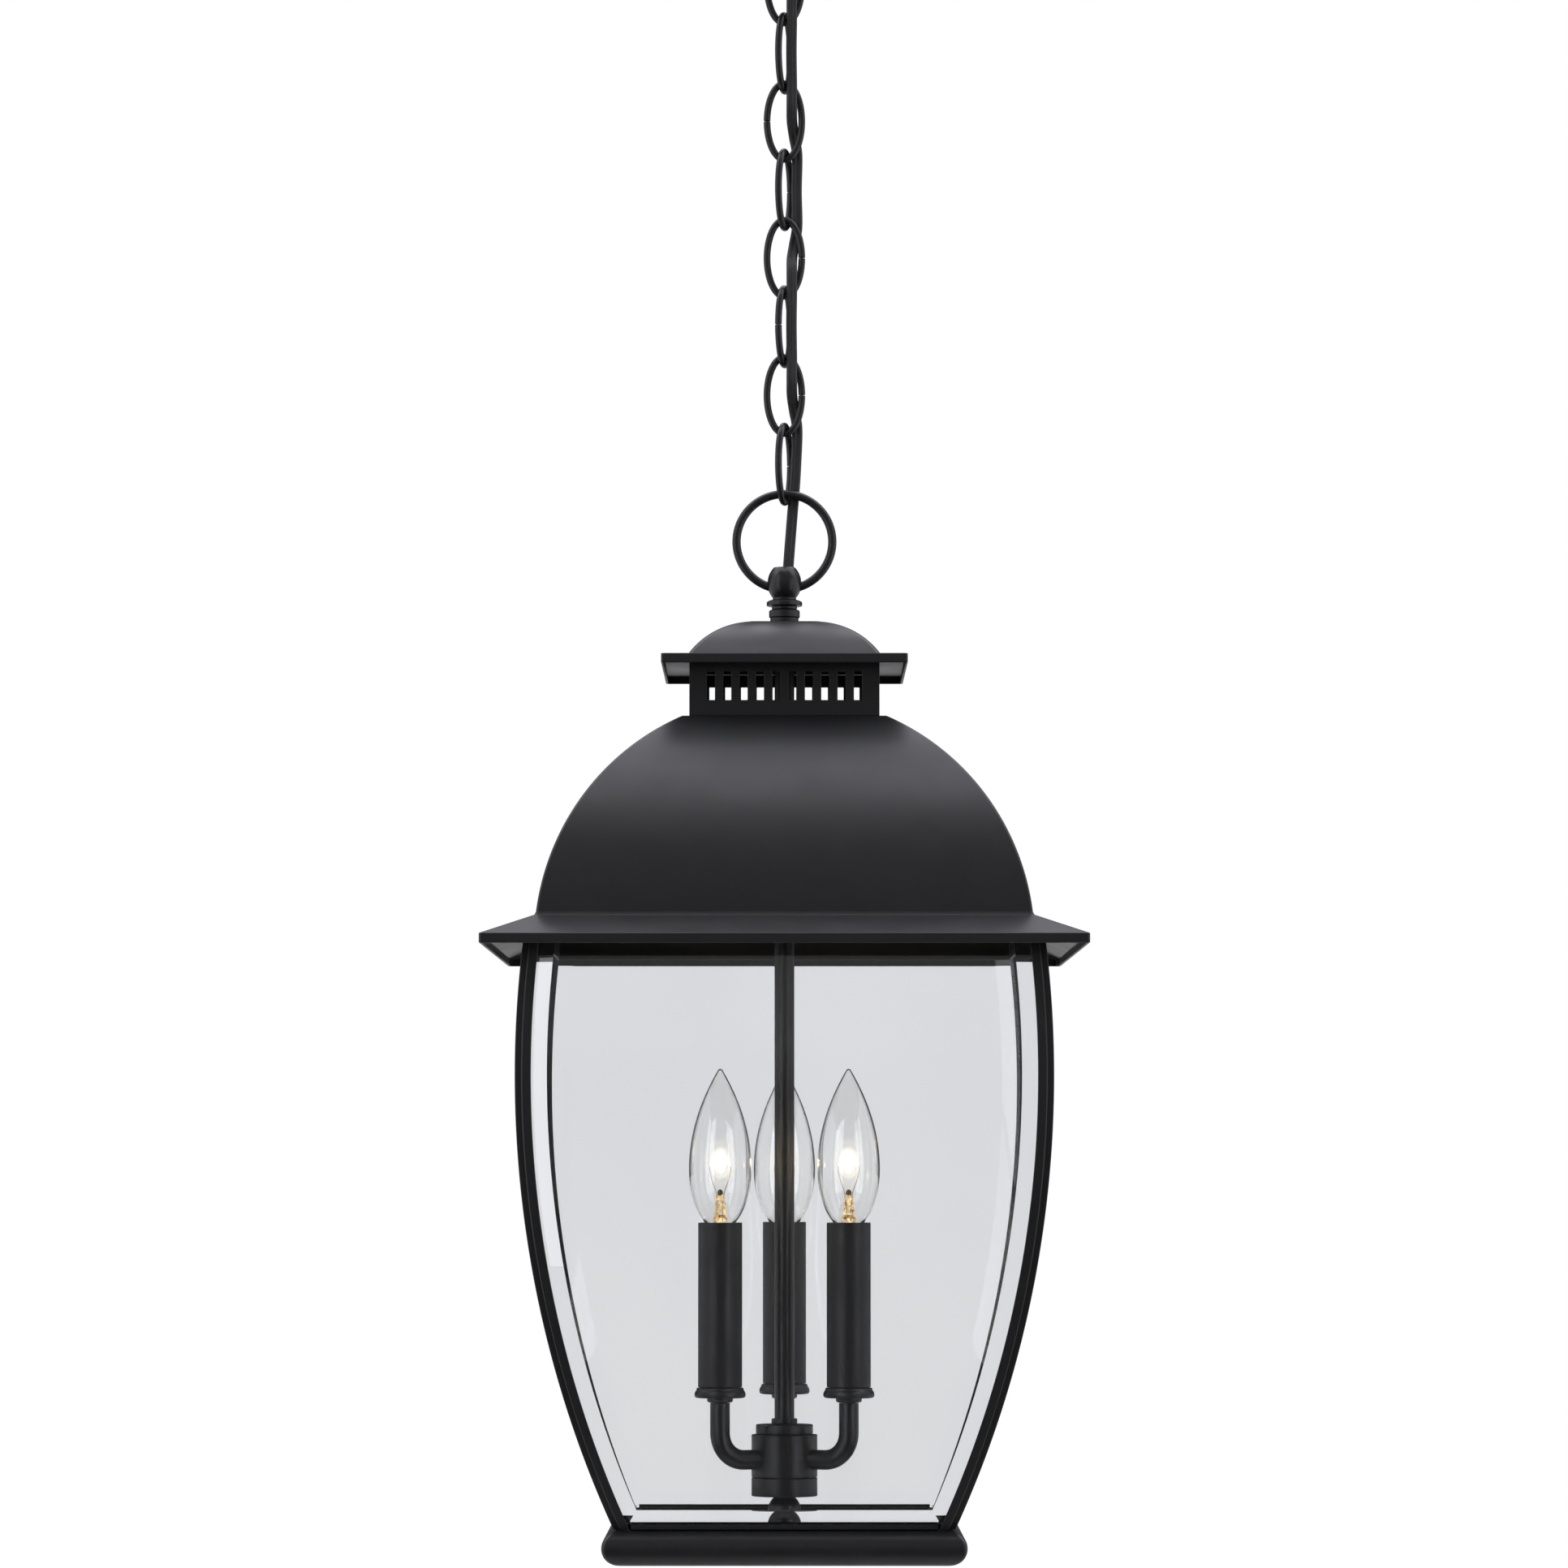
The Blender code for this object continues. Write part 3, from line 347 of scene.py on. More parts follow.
def turned(name, profile, look, where=(0.0, 0.0), closed=False, ease=0.3, sides=ROUND):
    """A round piece about a vertical axis, from a profile of (radius, height) in millimetres."""
    outline = rounded(profile, ease, closed) if ease else profile
    rings = [circle(r * MM, at(h), where, sides) for r, h in outline]
    return loft(name, rings, look, loop=closed, caps=False, weighted=True)


def square_ring(half, z, corner):
    """Points round a square with rounded corners, in metres."""
    corner = min(corner, half)
    inset = Vector((half - corner, half - corner))
    ring = []
    for quarter in range(4):
        middle = Matrix.Rotation(math.radians(90 * quarter), 2) @ inset
        for step in range(CORNER_STEPS + 1):
            turn = math.radians(90 * (quarter + step / CORNER_STEPS))
            x, y = middle.x + corner * math.cos(turn), middle.y + corner * math.sin(turn)
            ring.append((x, y, z))
    return ring


def squared(name, profile, look, ease, corner):
    """A piece that is square in plan, from a closed profile of (half width, height) in mm."""
    outline = rounded(profile, ease, closed=True)
    rings = [square_ring(half * MM, at(h), corner * MM) for half, h in outline]
    return loft(name, rings, look, loop=True, weighted=True)


def tube(name, points, radius, look, cyclic=False, sides=WIRE_SIDES, tip=0.0):
    """A round bar along points, with no twist. Its ends are eased over the length tip."""
    points = [Vector(p) for p in points]
    last = len(points) - 1
    tangents = []
    for i in range(len(points)):
        after = points[(i + 1) % len(points)] if cyclic or i < last else points[i]
        before = points[i - 1] if cyclic or i > 0 else points[i]
        tangents.append((after - before).normalized())
    side = tangents[0].orthogonal().normalized()
    rings = []
    for i, (point, tangent) in enumerate(zip(points, tangents)):
        if i:
            side = tangents[i - 1].rotation_difference(tangent) @ side
            side = (side - tangent * side.dot(tangent)).normalized()
        across = tangent.cross(side)
        shapes = [(0.0, radius)]
        if tip and i == 0:
            shapes = [(0.0, radius - tip), (0.3 * tip, radius - 0.3 * tip), (tip, radius)]
        if tip and i == last:
            shapes = [(-tip, radius), (-0.3 * tip, radius - 0.3 * tip), (0.0, radius - tip)]
        for shift, size in shapes:
            middle = point + tangent * shift
            spokes = [side * math.cos(a) + across * math.sin(a) for a in full_turn(sides)]
            rings.append([middle + spoke * size for spoke in spokes])
    return loft(name, rings, look, loop=cyclic, caps=not cyclic, sharp=50.0)


def refined(node, look, width):
    """A node's own flat-sided shape with its edges eased by a width in millimetres."""
    mesh = frame["nodes"][node].data.copy()
    mesh.name = f"{node}_eased"
    work = bmesh.new()
    work.from_mesh(mesh)
    bmesh.ops.remove_doubles(work, verts=work.verts, dist=1e-6)
    flat = math.radians(1)
    bmesh.ops.dissolve_limit(work, angle_limit=flat, verts=work.verts, edges=work.edges)
    work.to_mesh(mesh)
    work.free()
    obj = from_mesh(f"{node}_eased", mesh, look)
    ease = obj.modifiers.new("ease", "BEVEL")
    ease.width = width * MM
    ease.segments = 2
    ease.limit_method = "ANGLE"
    ease.angle_limit = math.radians(30)
    weight_normals(obj)
    place(obj, node)


# ---------------------------------------------------------------- cord

# The cord's middle line from the canopy's nipple down to the ball, in millimetres
CORD_ROUTE = (
    (0.0, 0.0, -36.0),
    (0.7, -0.4, -44.0),
    (4.1, -2.6, -51.5),
    (5.0, -3.7, -57.0),
    (4.6, -3.8, -64.0),
    (3.7, -3.6, -76.0),
    (3.6, -3.6, -91.0),
    (3.4, -3.6, -108.0),
    (3.6, -3.6, -125.0),
    (3.6, -3.4, -134.5),
    (3.7, 0.0, -141.9),
    (4.8, 3.4, -149.2),
    (6.2, 3.6, -158.0),
    (5.9, 3.7, -175.5),
    (6.2, 3.6, -192.5),
    (4.8, 3.4, -201.7),
    (3.7, 0.0, -209.1),
    (3.6, -3.4, -216.4),
    (3.6, -3.6, -225.5),
    (3.4, -3.6, -242.7),
    (3.6, -3.6, -259.5),
    (3.6, -3.4, -268.9),
    (3.7, 0.0, -276.3),
    (4.8, 3.4, -283.6),
    (6.2, 3.6, -292.5),
    (5.6, 3.8, -309.9),
    (4.8, 4.1, -323.0),
    (4.1, 3.6, -331.0),
    (3.0, 1.8, -345.0),
    (2.2, 0.6, -355.5),
    (1.6, 0.0, -364.0),
)
CORD_STEPS = 8  # points for each step of the route
# One cut at the middle of each link, so that a piece lies between two neighbouring bodies
CORD_CUTS = (-74.65, -108.25, -141.85, -175.45, -209.05, -242.65, -276.25, -309.85)
CORD_STRAND = 1.3 * MM  # radius of one strand
STRAND_STEPS = 14
CORD_WEB = 0.95 * MM  # half the thickness between the two strands


def smooth_route(route, steps):
    """Points in metres on a Catmull-Rom curve through a route in millimetres."""
    points = [Vector(p) * MM for p in route]
    ends = [2 * points[0] - points[1], *points, 2 * points[-1] - points[-2]]
    curve = []
    for before, start, end, after in zip(ends, ends[1:], ends[2:], ends[3:]):
        for t in (i / steps for i in range(steps)):
            line = (end - before) * t
            bend = (2 * before - 5 * start + 4 * end - after) * t**2
            twist = (3 * start - before - 3 * end + after) * t**3
            curve.append(start + (line + bend + twist) / 2)
    return [*curve, points[-1]]


def cord_section():
    """Two round strands side by side with a web between them: (across, through) points."""
    open_angle = 180 - math.degrees(math.asin(CORD_WEB / CORD_STRAND))
    right = arc((CORD_STRAND, 0.0), CORD_STRAND, -open_angle, open_angle, STRAND_STEPS)
    left = arc((-CORD_STRAND, 0.0), CORD_STRAND, 180 - open_angle, 180 + open_angle, STRAND_STEPS)
    return right + left


def make_cord():
    line = smooth_route(CORD_ROUTE, CORD_STEPS)
    section = cord_section()
    rings = []
    for i, point in enumerate(line):
        tangent = (line[min(i + 1, len(line) - 1)] - line[max(i - 1, 0)]).normalized()
        across = (Vector((1, 0, 0)) - tangent * tangent.x).normalized()
        through = tangent.cross(across)
        rings.append([point + across * x + through * y for x, y in section])
    cuts = []
    for z in CORD_CUTS:
        gaps = [abs(point.z - z * MM) for point in line]
        cuts.append(gaps.index(min(gaps)))
    stops = [0, *cuts, len(line) - 1]
    for number, (first, last) in enumerate(zip(stops, stops[1:])):
        ends = number in (0, len(stops) - 2)
        piece = loft(f"cord_{number + 1}", rings[first : last + 1], CORD, caps=ends, sharp=60.0)
        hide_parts("cord")
        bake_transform(piece)


# ---------------------------------------------------------------- ceiling fitting and chain


def from_ceiling(profile):
    """A profile with its heights in millimetres from the ceiling, as turned() takes it."""
    return [(r, z - TRAY_BOTTOM / MM) for r, z in profile]


def threaded(low, high):
    """The profile of the threaded tube between two heights, its thread as a row of grooves."""
    pitch, depth = 0.94, 0.5
    count = int((high - low) / pitch)
    step = (high - low) / count
    outer = []
    for i in range(count):
        outer.append((THREAD, high - i * step - 0.15 * step))
        outer.append((THREAD - depth, high - (i + 0.5) * step))
        outer.append((THREAD, high - (i + 0.85) * step))
    start, end = (THREAD - 0.3, high), (THREAD - 0.3, low)
    return [(TUBE_BORE, high), start, *outer, end, (TUBE_BORE, low)]


def make_canopy():
    """A pressed dish: a flat middle with a quarter of an ellipse round it, and a low lip."""
    radius, flat, lip, depth = 63.5, 20.0, 3.5, 22.0
    edge = -0.3
    turns = [math.radians(90 * i / 24) for i in range(25)]
    reach, fall = radius - flat, depth - lip
    outer = [(flat + reach * math.cos(a), -lip - fall * math.sin(a)) for a in turns]
    reach, fall = reach - SHEET, fall - SHEET
    inner = [(flat + reach * math.cos(a), -lip - fall * math.sin(a)) for a in reversed(turns)]
    shell = [(radius, edge), *outer, (BORE, -depth), (BORE, SHEET - depth), *inner]
    shell = from_ceiling([*shell, (radius - SHEET, edge)])
    place(turned("canopy_shell", shell, PAINT, closed=True, ease=0.5, sides=128), "canopy")


def make_ceiling_fitting():
    make_canopy()
    collar = [(11.0, -22.3), (12.0, -23.3), (12.0, -29.3), (10.0, -30.3), (BORE, -30.3)]
    collar = from_ceiling([*collar, (BORE, -22.3)])
    place(turned("collar_round", collar, PAINT, closed=True, ease=0.5), "screw_collar")
    loop_middle, loop_radius, loop_wire = -49, 11, 2.0
    loop = [
        (0.0, loop_radius * MM * math.sin(a), (loop_middle + loop_radius * math.cos(a)) * MM)
        for a in full_turn(96)
    ]
    place(tube("canopy_loop_wire", loop, loop_wire * MM, CHAIN, cyclic=True), "canopy_loop")
    head = [(BORE, -34.0), (BORE, -30.6), (6.6, -30.6), (7.6, -33.2), (7.6, -35.8), (6.6, -38.4)]
    head = from_ceiling([*head, (4.6, -41.0), (TUBE_BORE, -41.0), (TUBE_BORE, -34.0)])
    place(turned("canopy_loop_head", head, CHAIN, closed=True, ease=0.6), "canopy_loop")
    nipple = from_ceiling(threaded(-33.6, -2.9))
    place(turned("ceiling_thread", nipple, ZINC, closed=True, ease=0.0), "ceiling_nipple")
    refined("crossbar", ZINC, 0.4)
    refined("lock_nut", ZINC, 0.4)


LINK_HALF_WIDTH = 8.45  # from the link's middle to its wire's middle, in millimetres
LINK_HALF_HEIGHT = 18.65
LINK_WIRE = 1.68
LINK_TURN = 70.0  # degrees that every second link is turned by
LINK_STEPS = 96
SEAM = 0.16  # half the gap between the wire's ends


def make_links():
    """Oval links of round wire, each with a fine seam between its wire's ends on one leg."""
    seam_sides = {"a": 1, "b": 1, "c": -1, "d": 1, "e": 1, "f": -1, "g": 1, "h": 1}
    half_seam = SEAM / LINK_HALF_HEIGHT
    for letter, side in seam_sides.items():
        low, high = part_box(f"link_{letter}")
        middle = (low + high) / 2
        turn = math.radians(LINK_TURN) if letter in "bdfh" else 0.0
        points = []
        for i in range(LINK_STEPS + 1):
            a = side * math.pi / 2 + half_seam + (math.tau - 2 * half_seam) * i / LINK_STEPS
            x, z = LINK_HALF_WIDTH * MM * math.sin(a), LINK_HALF_HEIGHT * MM * math.cos(a)
            points.append(middle + Matrix.Rotation(turn, 3, "Z") @ Vector((x, 0.0, z)))
        wire = tube(f"link_{letter}_wire", points, LINK_WIRE * MM, CHAIN, tip=0.25 * MM)
        place(wire, f"link_{letter}")


def make_ring_and_ball():
    radius, middle, wire = 23.2, 487.7, 2.05
    half_gap, steps = 15.0, 128
    first, last = math.radians(180 + half_gap), math.radians(540 - half_gap)
    turns = [first + (last - first) * i / steps for i in range(steps + 1)]
    points = [(radius * MM * math.sin(a), 0.0, at(middle + radius * math.cos(a))) for a in turns]
    place(tube("loop_ring_wire", points, wire * MM, CHAIN, sides=28), "loop_ring")
    bulge = [(8.2 * x, 467.4 + 9.8 * z) for x, z in arc((0.0, 0.0), 1.0, 51.8, -47.0, 28)]
    profile = [(TUBE_BORE, 462.0), (TUBE_BORE, 475.1), *bulge, (5.7, 459.4), (7.4, 458.9)]
    profile += [(8.6, 458.2), (8.6, 456.3), (6.1, 456.0), (6.1, 454.6), (BORE, 454.6)]
    profile += [(BORE, 459.0), (BORE, 462.0)]
    place(turned("ball_and_foot", profile, CHAIN, closed=True, ease=0.35), "loop_ball")
    collar = [(7.0, 454.3), (7.45, 453.8), (7.45, 450.8), (6.85, 450.5), (6.85, 447.7)]
    collar += [(BORE, 447.7), (BORE, 454.3)]
    place(turned("neck_collar_round", collar, PAINT, closed=True, ease=0.3), "neck_collar")


# ---------------------------------------------------------------- cap, vent and roof


def make_cap():
    """A low domed crown on a square plate whose edge is turned down."""
    middle, radius, first, last = (10.8, 405.6), 42.2, 81.6, 34.4
    outer = arc(middle, radius, first, last, 28)
    inner = arc(middle, radius - SHEET, last, first, 28)
    profile = [(BORE, 447.4), (17.0, 447.4), *outer, (outer[-1][0] + 0.5, 428.2), (58.5, 428.2)]
    profile += [(58.5, 423.6), (57.3, 423.6), (57.3, 427.0), (inner[0][0], 427.0), *inner[1:]]
    profile += [(17.0, 446.2), (BORE, 446.2)]
    crown_corner, plate_corner = 2.4 * MM, 1.1 * MM
    rings = []
    for half, h in rounded(profile, 0.5, closed=True):
        rings.append(square_ring(half * MM, at(h), crown_corner if half < 50 else plate_corner))
    place(loft("cap_sheet", rings, PAINT, loop=True, weighted=True), "cap")
    refined("cap_nut", ZINC, 0.4)
    for side in ("front", "right", "rear", "left"):
        refined(f"vent_{side}", PAINT, 0.22)


def make_roof():
    """The bell: an arc down to a straight skirt, whose edge is turned down."""
    middle, radius, first, last = (-10.25, 287.7), 126.1, 62.1, 6.9
    outer = arc(middle, radius, first, last, 56)
    inner = arc(middle, radius - SHEET, last, first, 56)
    skirt_top, skirt_low, skirt_width = 301.4, 291.9, 25.0
    slope = (skirt_top - skirt_low) / skirt_width
    under = SHEET * math.hypot(1.0, slope)
    profile = [(40.0, 399.1), *outer, (115.6, skirt_top), (140.0, skirt_low), (140.0, 287.3)]
    profile += [(138.8, 287.3), (138.8, skirt_low + SHEET * slope - under)]
    profile += [(115.3, skirt_top - under), *inner, (40.0, 397.9)]
    place(squared("roof_sheet", profile, PAINT, ease=0.55, corner=1.3), "roof")


# ---------------------------------------------------------------- cage


WALL_HALF = 124.2  # half the width over the posts where it is widest, in millimetres
WALL_WIDEST = 228.7  # the height of that place
WALL_BOW = 526.3  # radius of the posts' and the panes' curve


def wall_half(height):
    """Half the lantern's width over its posts at a height, in millimetres."""
    return WALL_HALF - WALL_BOW + math.sqrt(WALL_BOW**2 - (height - WALL_WIDEST) ** 2)


def make_posts():
    """Strips folded to a stepped corner and bowed like the panes."""
    step, width, thick = 3.3, 7.6, 1.4
    bottom, top, count = 16.8, 298.0, 64
    outline = [(width, 0.0), (step, 0.0), (step, step), (0.0, step), (0.0, width), (thick, width)]
    outline += [(thick, step + thick), (step + thick, step + thick), (step + thick, thick)]
    outline = rounded([*outline, (width, thick)], 0.55, closed=True)
    levels = [bottom + (top - bottom) * i / count for i in range(count + 1)]
    for turn, corner in enumerate(("front_right", "rear_right", "rear_left", "front_left")):
        spin = Matrix.Rotation(math.radians(90 * turn), 3, "Z")
        rings = []
        for level in levels:
            half = wall_half(level)
            section = [((half - u) * MM, (v - half) * MM, at(level)) for u, v in outline]
            rings.append([spin @ Vector(point) for point in section])
        place(loft(f"post_{corner}_strip", rings, PAINT, weighted=True), f"post_{corner}")


PANE_POINTS = 12  # in each row: six across the outer face and six back across the inner one


def pane_faces(row_count):
    """The faces between a pane's rows, and those of its two ends.

    The quads where an end's bevel meets a side's are split along the fold between the two.
    """
    faces = []
    last = row_count - 2
    for row in range(row_count - 1):
        a, b = row * PANE_POINTS, (row + 1) * PANE_POINTS
        for k in range(PANE_POINTS):
            n = (k + 1) % PANE_POINTS
            corners = (a + k, a + n, b + n, b + k)
            if (row, k) in ((0, 1), (last, 3)):
                faces += [corners[:3], (corners[0], corners[2], corners[3])]
            elif (row, k) in ((0, 3), (last, 1)):
                faces += [(corners[0], corners[1], corners[3]), corners[1:]]
            else:
                faces.append(corners)
    for first in (0, (row_count - 1) * PANE_POINTS):
        end = first + PANE_POINTS - 1
        faces += [(first + k, first + k + 1, end - 1 - k, end - k) for k in range(5)]
    return faces


def make_panes():
    """Bowed plate glass; the outer face is ground to a shallow bevel along its edges."""
    side_width, side_depth, end_width = 9.1, 1.6, 6.5
    end_depth = side_depth * end_width / side_width
    bottom, top, thickness, setback, edge = 19.6, 297.0, 3.4, 1.7, 5.8
    low, count = bottom + end_width, 96
    inside = [low + (top - bottom - 2 * end_width) * i / count for i in range(count + 1)]
    rows = [(bottom, True), *((h, False) for h in inside), (top, True)]
    sides = [(0.0, side_depth), (side_width - end_width, end_depth), (side_width, 0.0)]
    for turn, name in enumerate(("front", "right", "rear", "left")):
        spin = Matrix.Rotation(math.radians(90 * turn), 3, "Z")
        points = []
        for height, on_edge in rows:
            half = wall_half(height)
            reach, outer = half - edge, setback - half
            columns = [(i - reach, ground) for i, ground in sides]
            columns += [(reach - i, ground) for i, ground in reversed(sides)]
            least = end_depth if on_edge else 0.0
            row = [(x, outer + max(ground, least)) for x, ground in columns]
            row += [(x, outer + thickness) for x, _ in reversed(columns)]
            points += [spin @ Vector((x * MM, y * MM, at(height))) for x, y in row]
        mesh = bpy.data.meshes.new(f"pane_{name}_glass")
        mesh.from_pydata(points, [], pane_faces(len(rows)))
        place(from_mesh(f"pane_{name}_glass", mesh, PANE, sharp=4.0), f"pane_{name}")


def make_frames_and_tray():
    refined("sill", PAINT, 0.3)
    refined("top_frame", PAINT, 0.3)
    refined("top_strap", PAINT, 0.4)
    refined("base_strap", PAINT, 0.4)
    refined("bottom_nut", PAINT, 0.5)
    bull, half = 8.25, 85.1  # the tray's rounded edge: its radius, and half the width over it
    outer = arc((half - bull, bull), bull, 90, -90, 32)
    inner = arc((half - bull, bull), bull - SHEET, -90, 90, 32)
    profile = [(68.0, 16.5), *outer, (74.0, 0.0), (74.0, SHEET), *inner, (68.0, 16.5 - SHEET)]
    place(squared("tray_sheet", profile, PAINT, ease=0.4, corner=2.2), "tray")
    foot = threaded(4.5, 15.0)[1:-1]
    profile = [(TUBE_BORE, 458.7), (4.45, 458.7), (THREAD, 458.4), (THREAD, 16.0), *foot]
    profile += [(TUBE_BORE, 4.5)]
    place(turned("centre_tube_round", profile, PAINT, closed=True, ease=0.0), "centre_tube")
    radius, half_height, cut = 8.0, 6.4, 50  # the ball is cut off at this many degrees
    spread = half_height / math.sin(math.radians(cut))
    ball = [(radius * x, 21.7 + spread * z) for x, z in arc((0.0, 0.0), 1.0, cut, -cut, 24)]
    ball = [(BORE, 28.5), *ball, (BORE, 15.3)]
    place(turned("ball_spacer_round", ball, PAINT, closed=True), "ball_spacer")


# ---------------------------------------------------------------- candles


def make_cluster():
    """The round box that the arms come out of: a nut, a cap, a body and a cover."""
    radius, wall = 15.8, 1.5
    inner = radius - wall
    body = [(BORE, 58.0), (radius, 58.0), (radius, 37.8), (inner, 37.8), (inner, 56.5)]
    body.append((BORE, 56.5))
    place(turned("cluster_body_round", body, PAINT, closed=True, ease=0.5), "cluster_body")
    top = [(BORE, 62.8), (13.7, 62.8), (13.7, 58.3), (BORE, 58.3)]
    place(turned("cluster_cap_round", top, PAINT, closed=True, ease=0.6), "cluster_cap")
    cover = [(radius, 37.5), (radius, 28.8), (BORE, 28.8), (BORE, 30.3), (inner, 30.3)]
    cover.append((inner, 37.5))
    place(turned("cluster_cover_round", cover, PAINT, closed=True, ease=0.5), "cluster_cover")
    nut = [(6.2, 65.6), (6.2, 63.1), (BORE, 63.1), (BORE, 65.6)]
    place(turned("tube_nut_round", nut, PAINT, closed=True, ease=0.4), "tube_nut")


BULB_RADIUS = 14.9  # at its widest, in millimetres
BULB_WIDEST = 184.6  # the height of that place
BULB_TAPER = 48.8  # from there to where the taper would end in a point
BULB_NECK = 6.6  # radius
GLASS = 0.55  # thickness
FILAMENT_HEIGHT = 186.6
GLOW_HEIGHT = 187.4


def bulb_glass(shrink):
    """The envelope's profile from its tip down to its neck, drawn in by a thickness."""
    profile = []
    for i in range(41):
        share = 1 - (i / 40) ** 1.6
        profile.append((BULB_RADIUS * (1 - share**2), BULB_WIDEST + BULB_TAPER * share))
    tip = [(0.0, 232.2), (0.5, 232.1), (0.9, 231.85), (1.25, 231.4)]
    profile = tip + [p for p in profile if p[0] > 1.6]
    neck_turn = math.acos(BULB_NECK / BULB_RADIUS)
    for i in range(1, 25):
        turn = neck_turn * i / 24
        profile.append((BULB_RADIUS * math.cos(turn), BULB_WIDEST - 29.3 * math.sin(turn)))
    profile.append((BULB_NECK, 153.2))
    made = []
    for i, (r, h) in enumerate(profile):
        ahead, behind = profile[min(i + 1, len(profile) - 1)], profile[max(i - 1, 0)]
        line = Vector((ahead[0] - behind[0], ahead[1] - behind[1])).normalized()
        made.append((max(r + line.y * shrink, 0.0) if r else 0.0, h - line.x * shrink))
    return made


def make_base(node, where):
    """The lamp's screw base: a rolled thread, and the tip contact."""
    crest, groove, pitch = 5.95, 5.5, 2.2
    base = [(0.0, 153.1), (6.0, 153.1), (6.0, 151.0), (5.6, 150.6)]
    for i in range(6):
        base += [(crest, 149.9 - pitch * i), (crest, 149.4 - pitch * i)]
        base += [(groove, 148.8 - pitch * i), (groove, 148.4 - pitch * i)]
    base += [(5.6, 135.6), (4.2, 133.0), (1.6, 132.0), (1.2, 131.1), (0.0, 131.0)]
    place(turned(f"{node}_base", base, BRASS, where, ease=0.0), node)


def make_stem(node, where):
    """The glass stem inside the lamp, the bead on it and the two wires up to the filament."""
    stem = [(0.0, 172.6), (1.5, 172.2), (2.2, 171.2), (1.8, 169.8), (2.6, 168.2), (2.2, 166.4)]
    stem += [(2.9, 164.6), (2.7, 162.8), (3.5, 160.6), (3.3, 158.6), (4.8, 156.4), (5.8, 154.6)]
    stem += [(5.9, 153.3), (0.0, 153.3)]
    place(turned(f"{node}_stem", stem, STEM_PAINTED_GLOW, where, ease=0.5, sides=40), node)
    bead = [(0.0, 174.9), (0.9, 174.5), (1.35, 173.6), (1.3, 172.6), (0.8, 171.8), (0.0, 171.5)]
    place(turned(f"{node}_bead", bead, BEAD, where, ease=0.2, sides=24), node)
    centre = Vector((*where, 0.0))
    lead = ((0.7, 160.0), (0.9, 168.0), (2.0, 173.5), (4.2, 180.0), (5.0, 184.0), (4.7, 186.6))
    for side, name in ((-1, "left"), (1, "right")):
        points = smooth_route([(side * x, 0.0, h) for x, h in lead], 5)
        points = [centre + p + Vector((0.0, 0.0, TRAY_BOTTOM)) for p in points]
        place(tube(f"{node}_lead_{name}", points, 0.22 * MM, WIRE, sides=8), node)


def make_filament(node, where):
    """A fine coil that bows up between the two wires."""
    centre = Vector((*where, 0.0))
    half_width, rise, radius, turns, steps = 4.7, 3.2, 0.65, 22, 400
    coil = []
    for i in range(steps + 1):
        share = i / steps
        x = -half_width + 2 * half_width * share
        lift = FILAMENT_HEIGHT + rise * math.sin(math.pi * share)
        turn = math.tau * turns * share
        y, z = radius * MM * math.sin(turn), at(lift + radius * math.cos(turn))
        coil.append(centre + Vector((x * MM, y, z)))
    place(tube(f"{node}_filament", coil, 0.17 * MM, FILAMENT, sides=6), node)


def make_bulb(number, where):
    """A clear lamp. Its glass and glow cast no shadow, so the filament lights what is near."""
    node = f"bulb_{number}"
    shell = [*bulb_glass(0.0), *reversed(bulb_glass(GLASS))]
    glass = turned(f"{node}_glass", shell, BULB, where, ease=0.0, sides=72)
    glass.visible_shadow = False
    place(glass, node)
    make_base(node, where)
    make_stem(node, where)
    make_filament(node, where)
    for step, (look, (_, _, across, along)) in enumerate(zip(GLOW, GLOW_SHELLS)):
        bloom = arc((0.0, 0.0), 1.0, 89.9, -89.9, 24)[1:-1]
        bloom = [(across * x, GLOW_HEIGHT + along * z) for x, z in bloom]
        bloom = [(0.0, GLOW_HEIGHT + along), *bloom, (0.0, GLOW_HEIGHT - along)]
        halo = turned(f"{node}_glow_{step + 1}", bloom, look, where, ease=0.0, sides=32)
        halo.visible_shadow = False
        place(halo, node)


def make_candles():
    for number in (1, 2, 3):
        low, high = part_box(f"candle_cover_{number}")
        where = ((low.x + high.x) / 2, (low.y + high.y) / 2)
        turn = math.atan2(where[1], where[0])
        arm_radius = 4.7
        path = [(12.3, 46.4), *arc((22.4, 59.4), 13.0, -90, 0, 28), (35.4, 73.6)]
        points = [(r * MM * math.cos(turn), r * MM * math.sin(turn), at(h)) for r, h in path]
        place(tube(f"arm_{number}_tube", points, arm_radius * MM, PAINT, sides=36), f"arm_{number}")
        cup = [(0.0, 80.8), (11.1, 80.8), (11.3, 79.7), (11.9, 78.9), (12.2, 77.9), (12.2, 77.0)]
        cup += [(11.8, 76.3), (10.9, 76.0), (6.2, 75.9), (6.2, 74.6), (5.6, 73.9), (0.0, 73.9)]
        place(turned(f"cup_{number}_round", cup, PAINT, where, ease=0.35), f"cup_{number}")
        cover = [(10.5, 159.1), (10.5, 81.1), (9.5, 81.1), (9.5, 159.1)]
        sleeve = turned(f"cover_{number}_tube", cover, SLEEVE, where, closed=True, ease=0.4)
        place(sleeve, f"candle_cover_{number}")
        socket = [(0.0, 130.5), (6.5, 130.5), (6.5, 152.0), (8.4, 152.0), (8.4, 100.0)]
        socket += [(3.0, 98.0), (3.0, 81.1), (0.0, 81.1)]
        place(turned(f"socket_{number}_body", socket, SOCKET, where, ease=0.4), f"socket_{number}")
        make_bulb(number, where)


# ---------------------------------------------------------------- studio

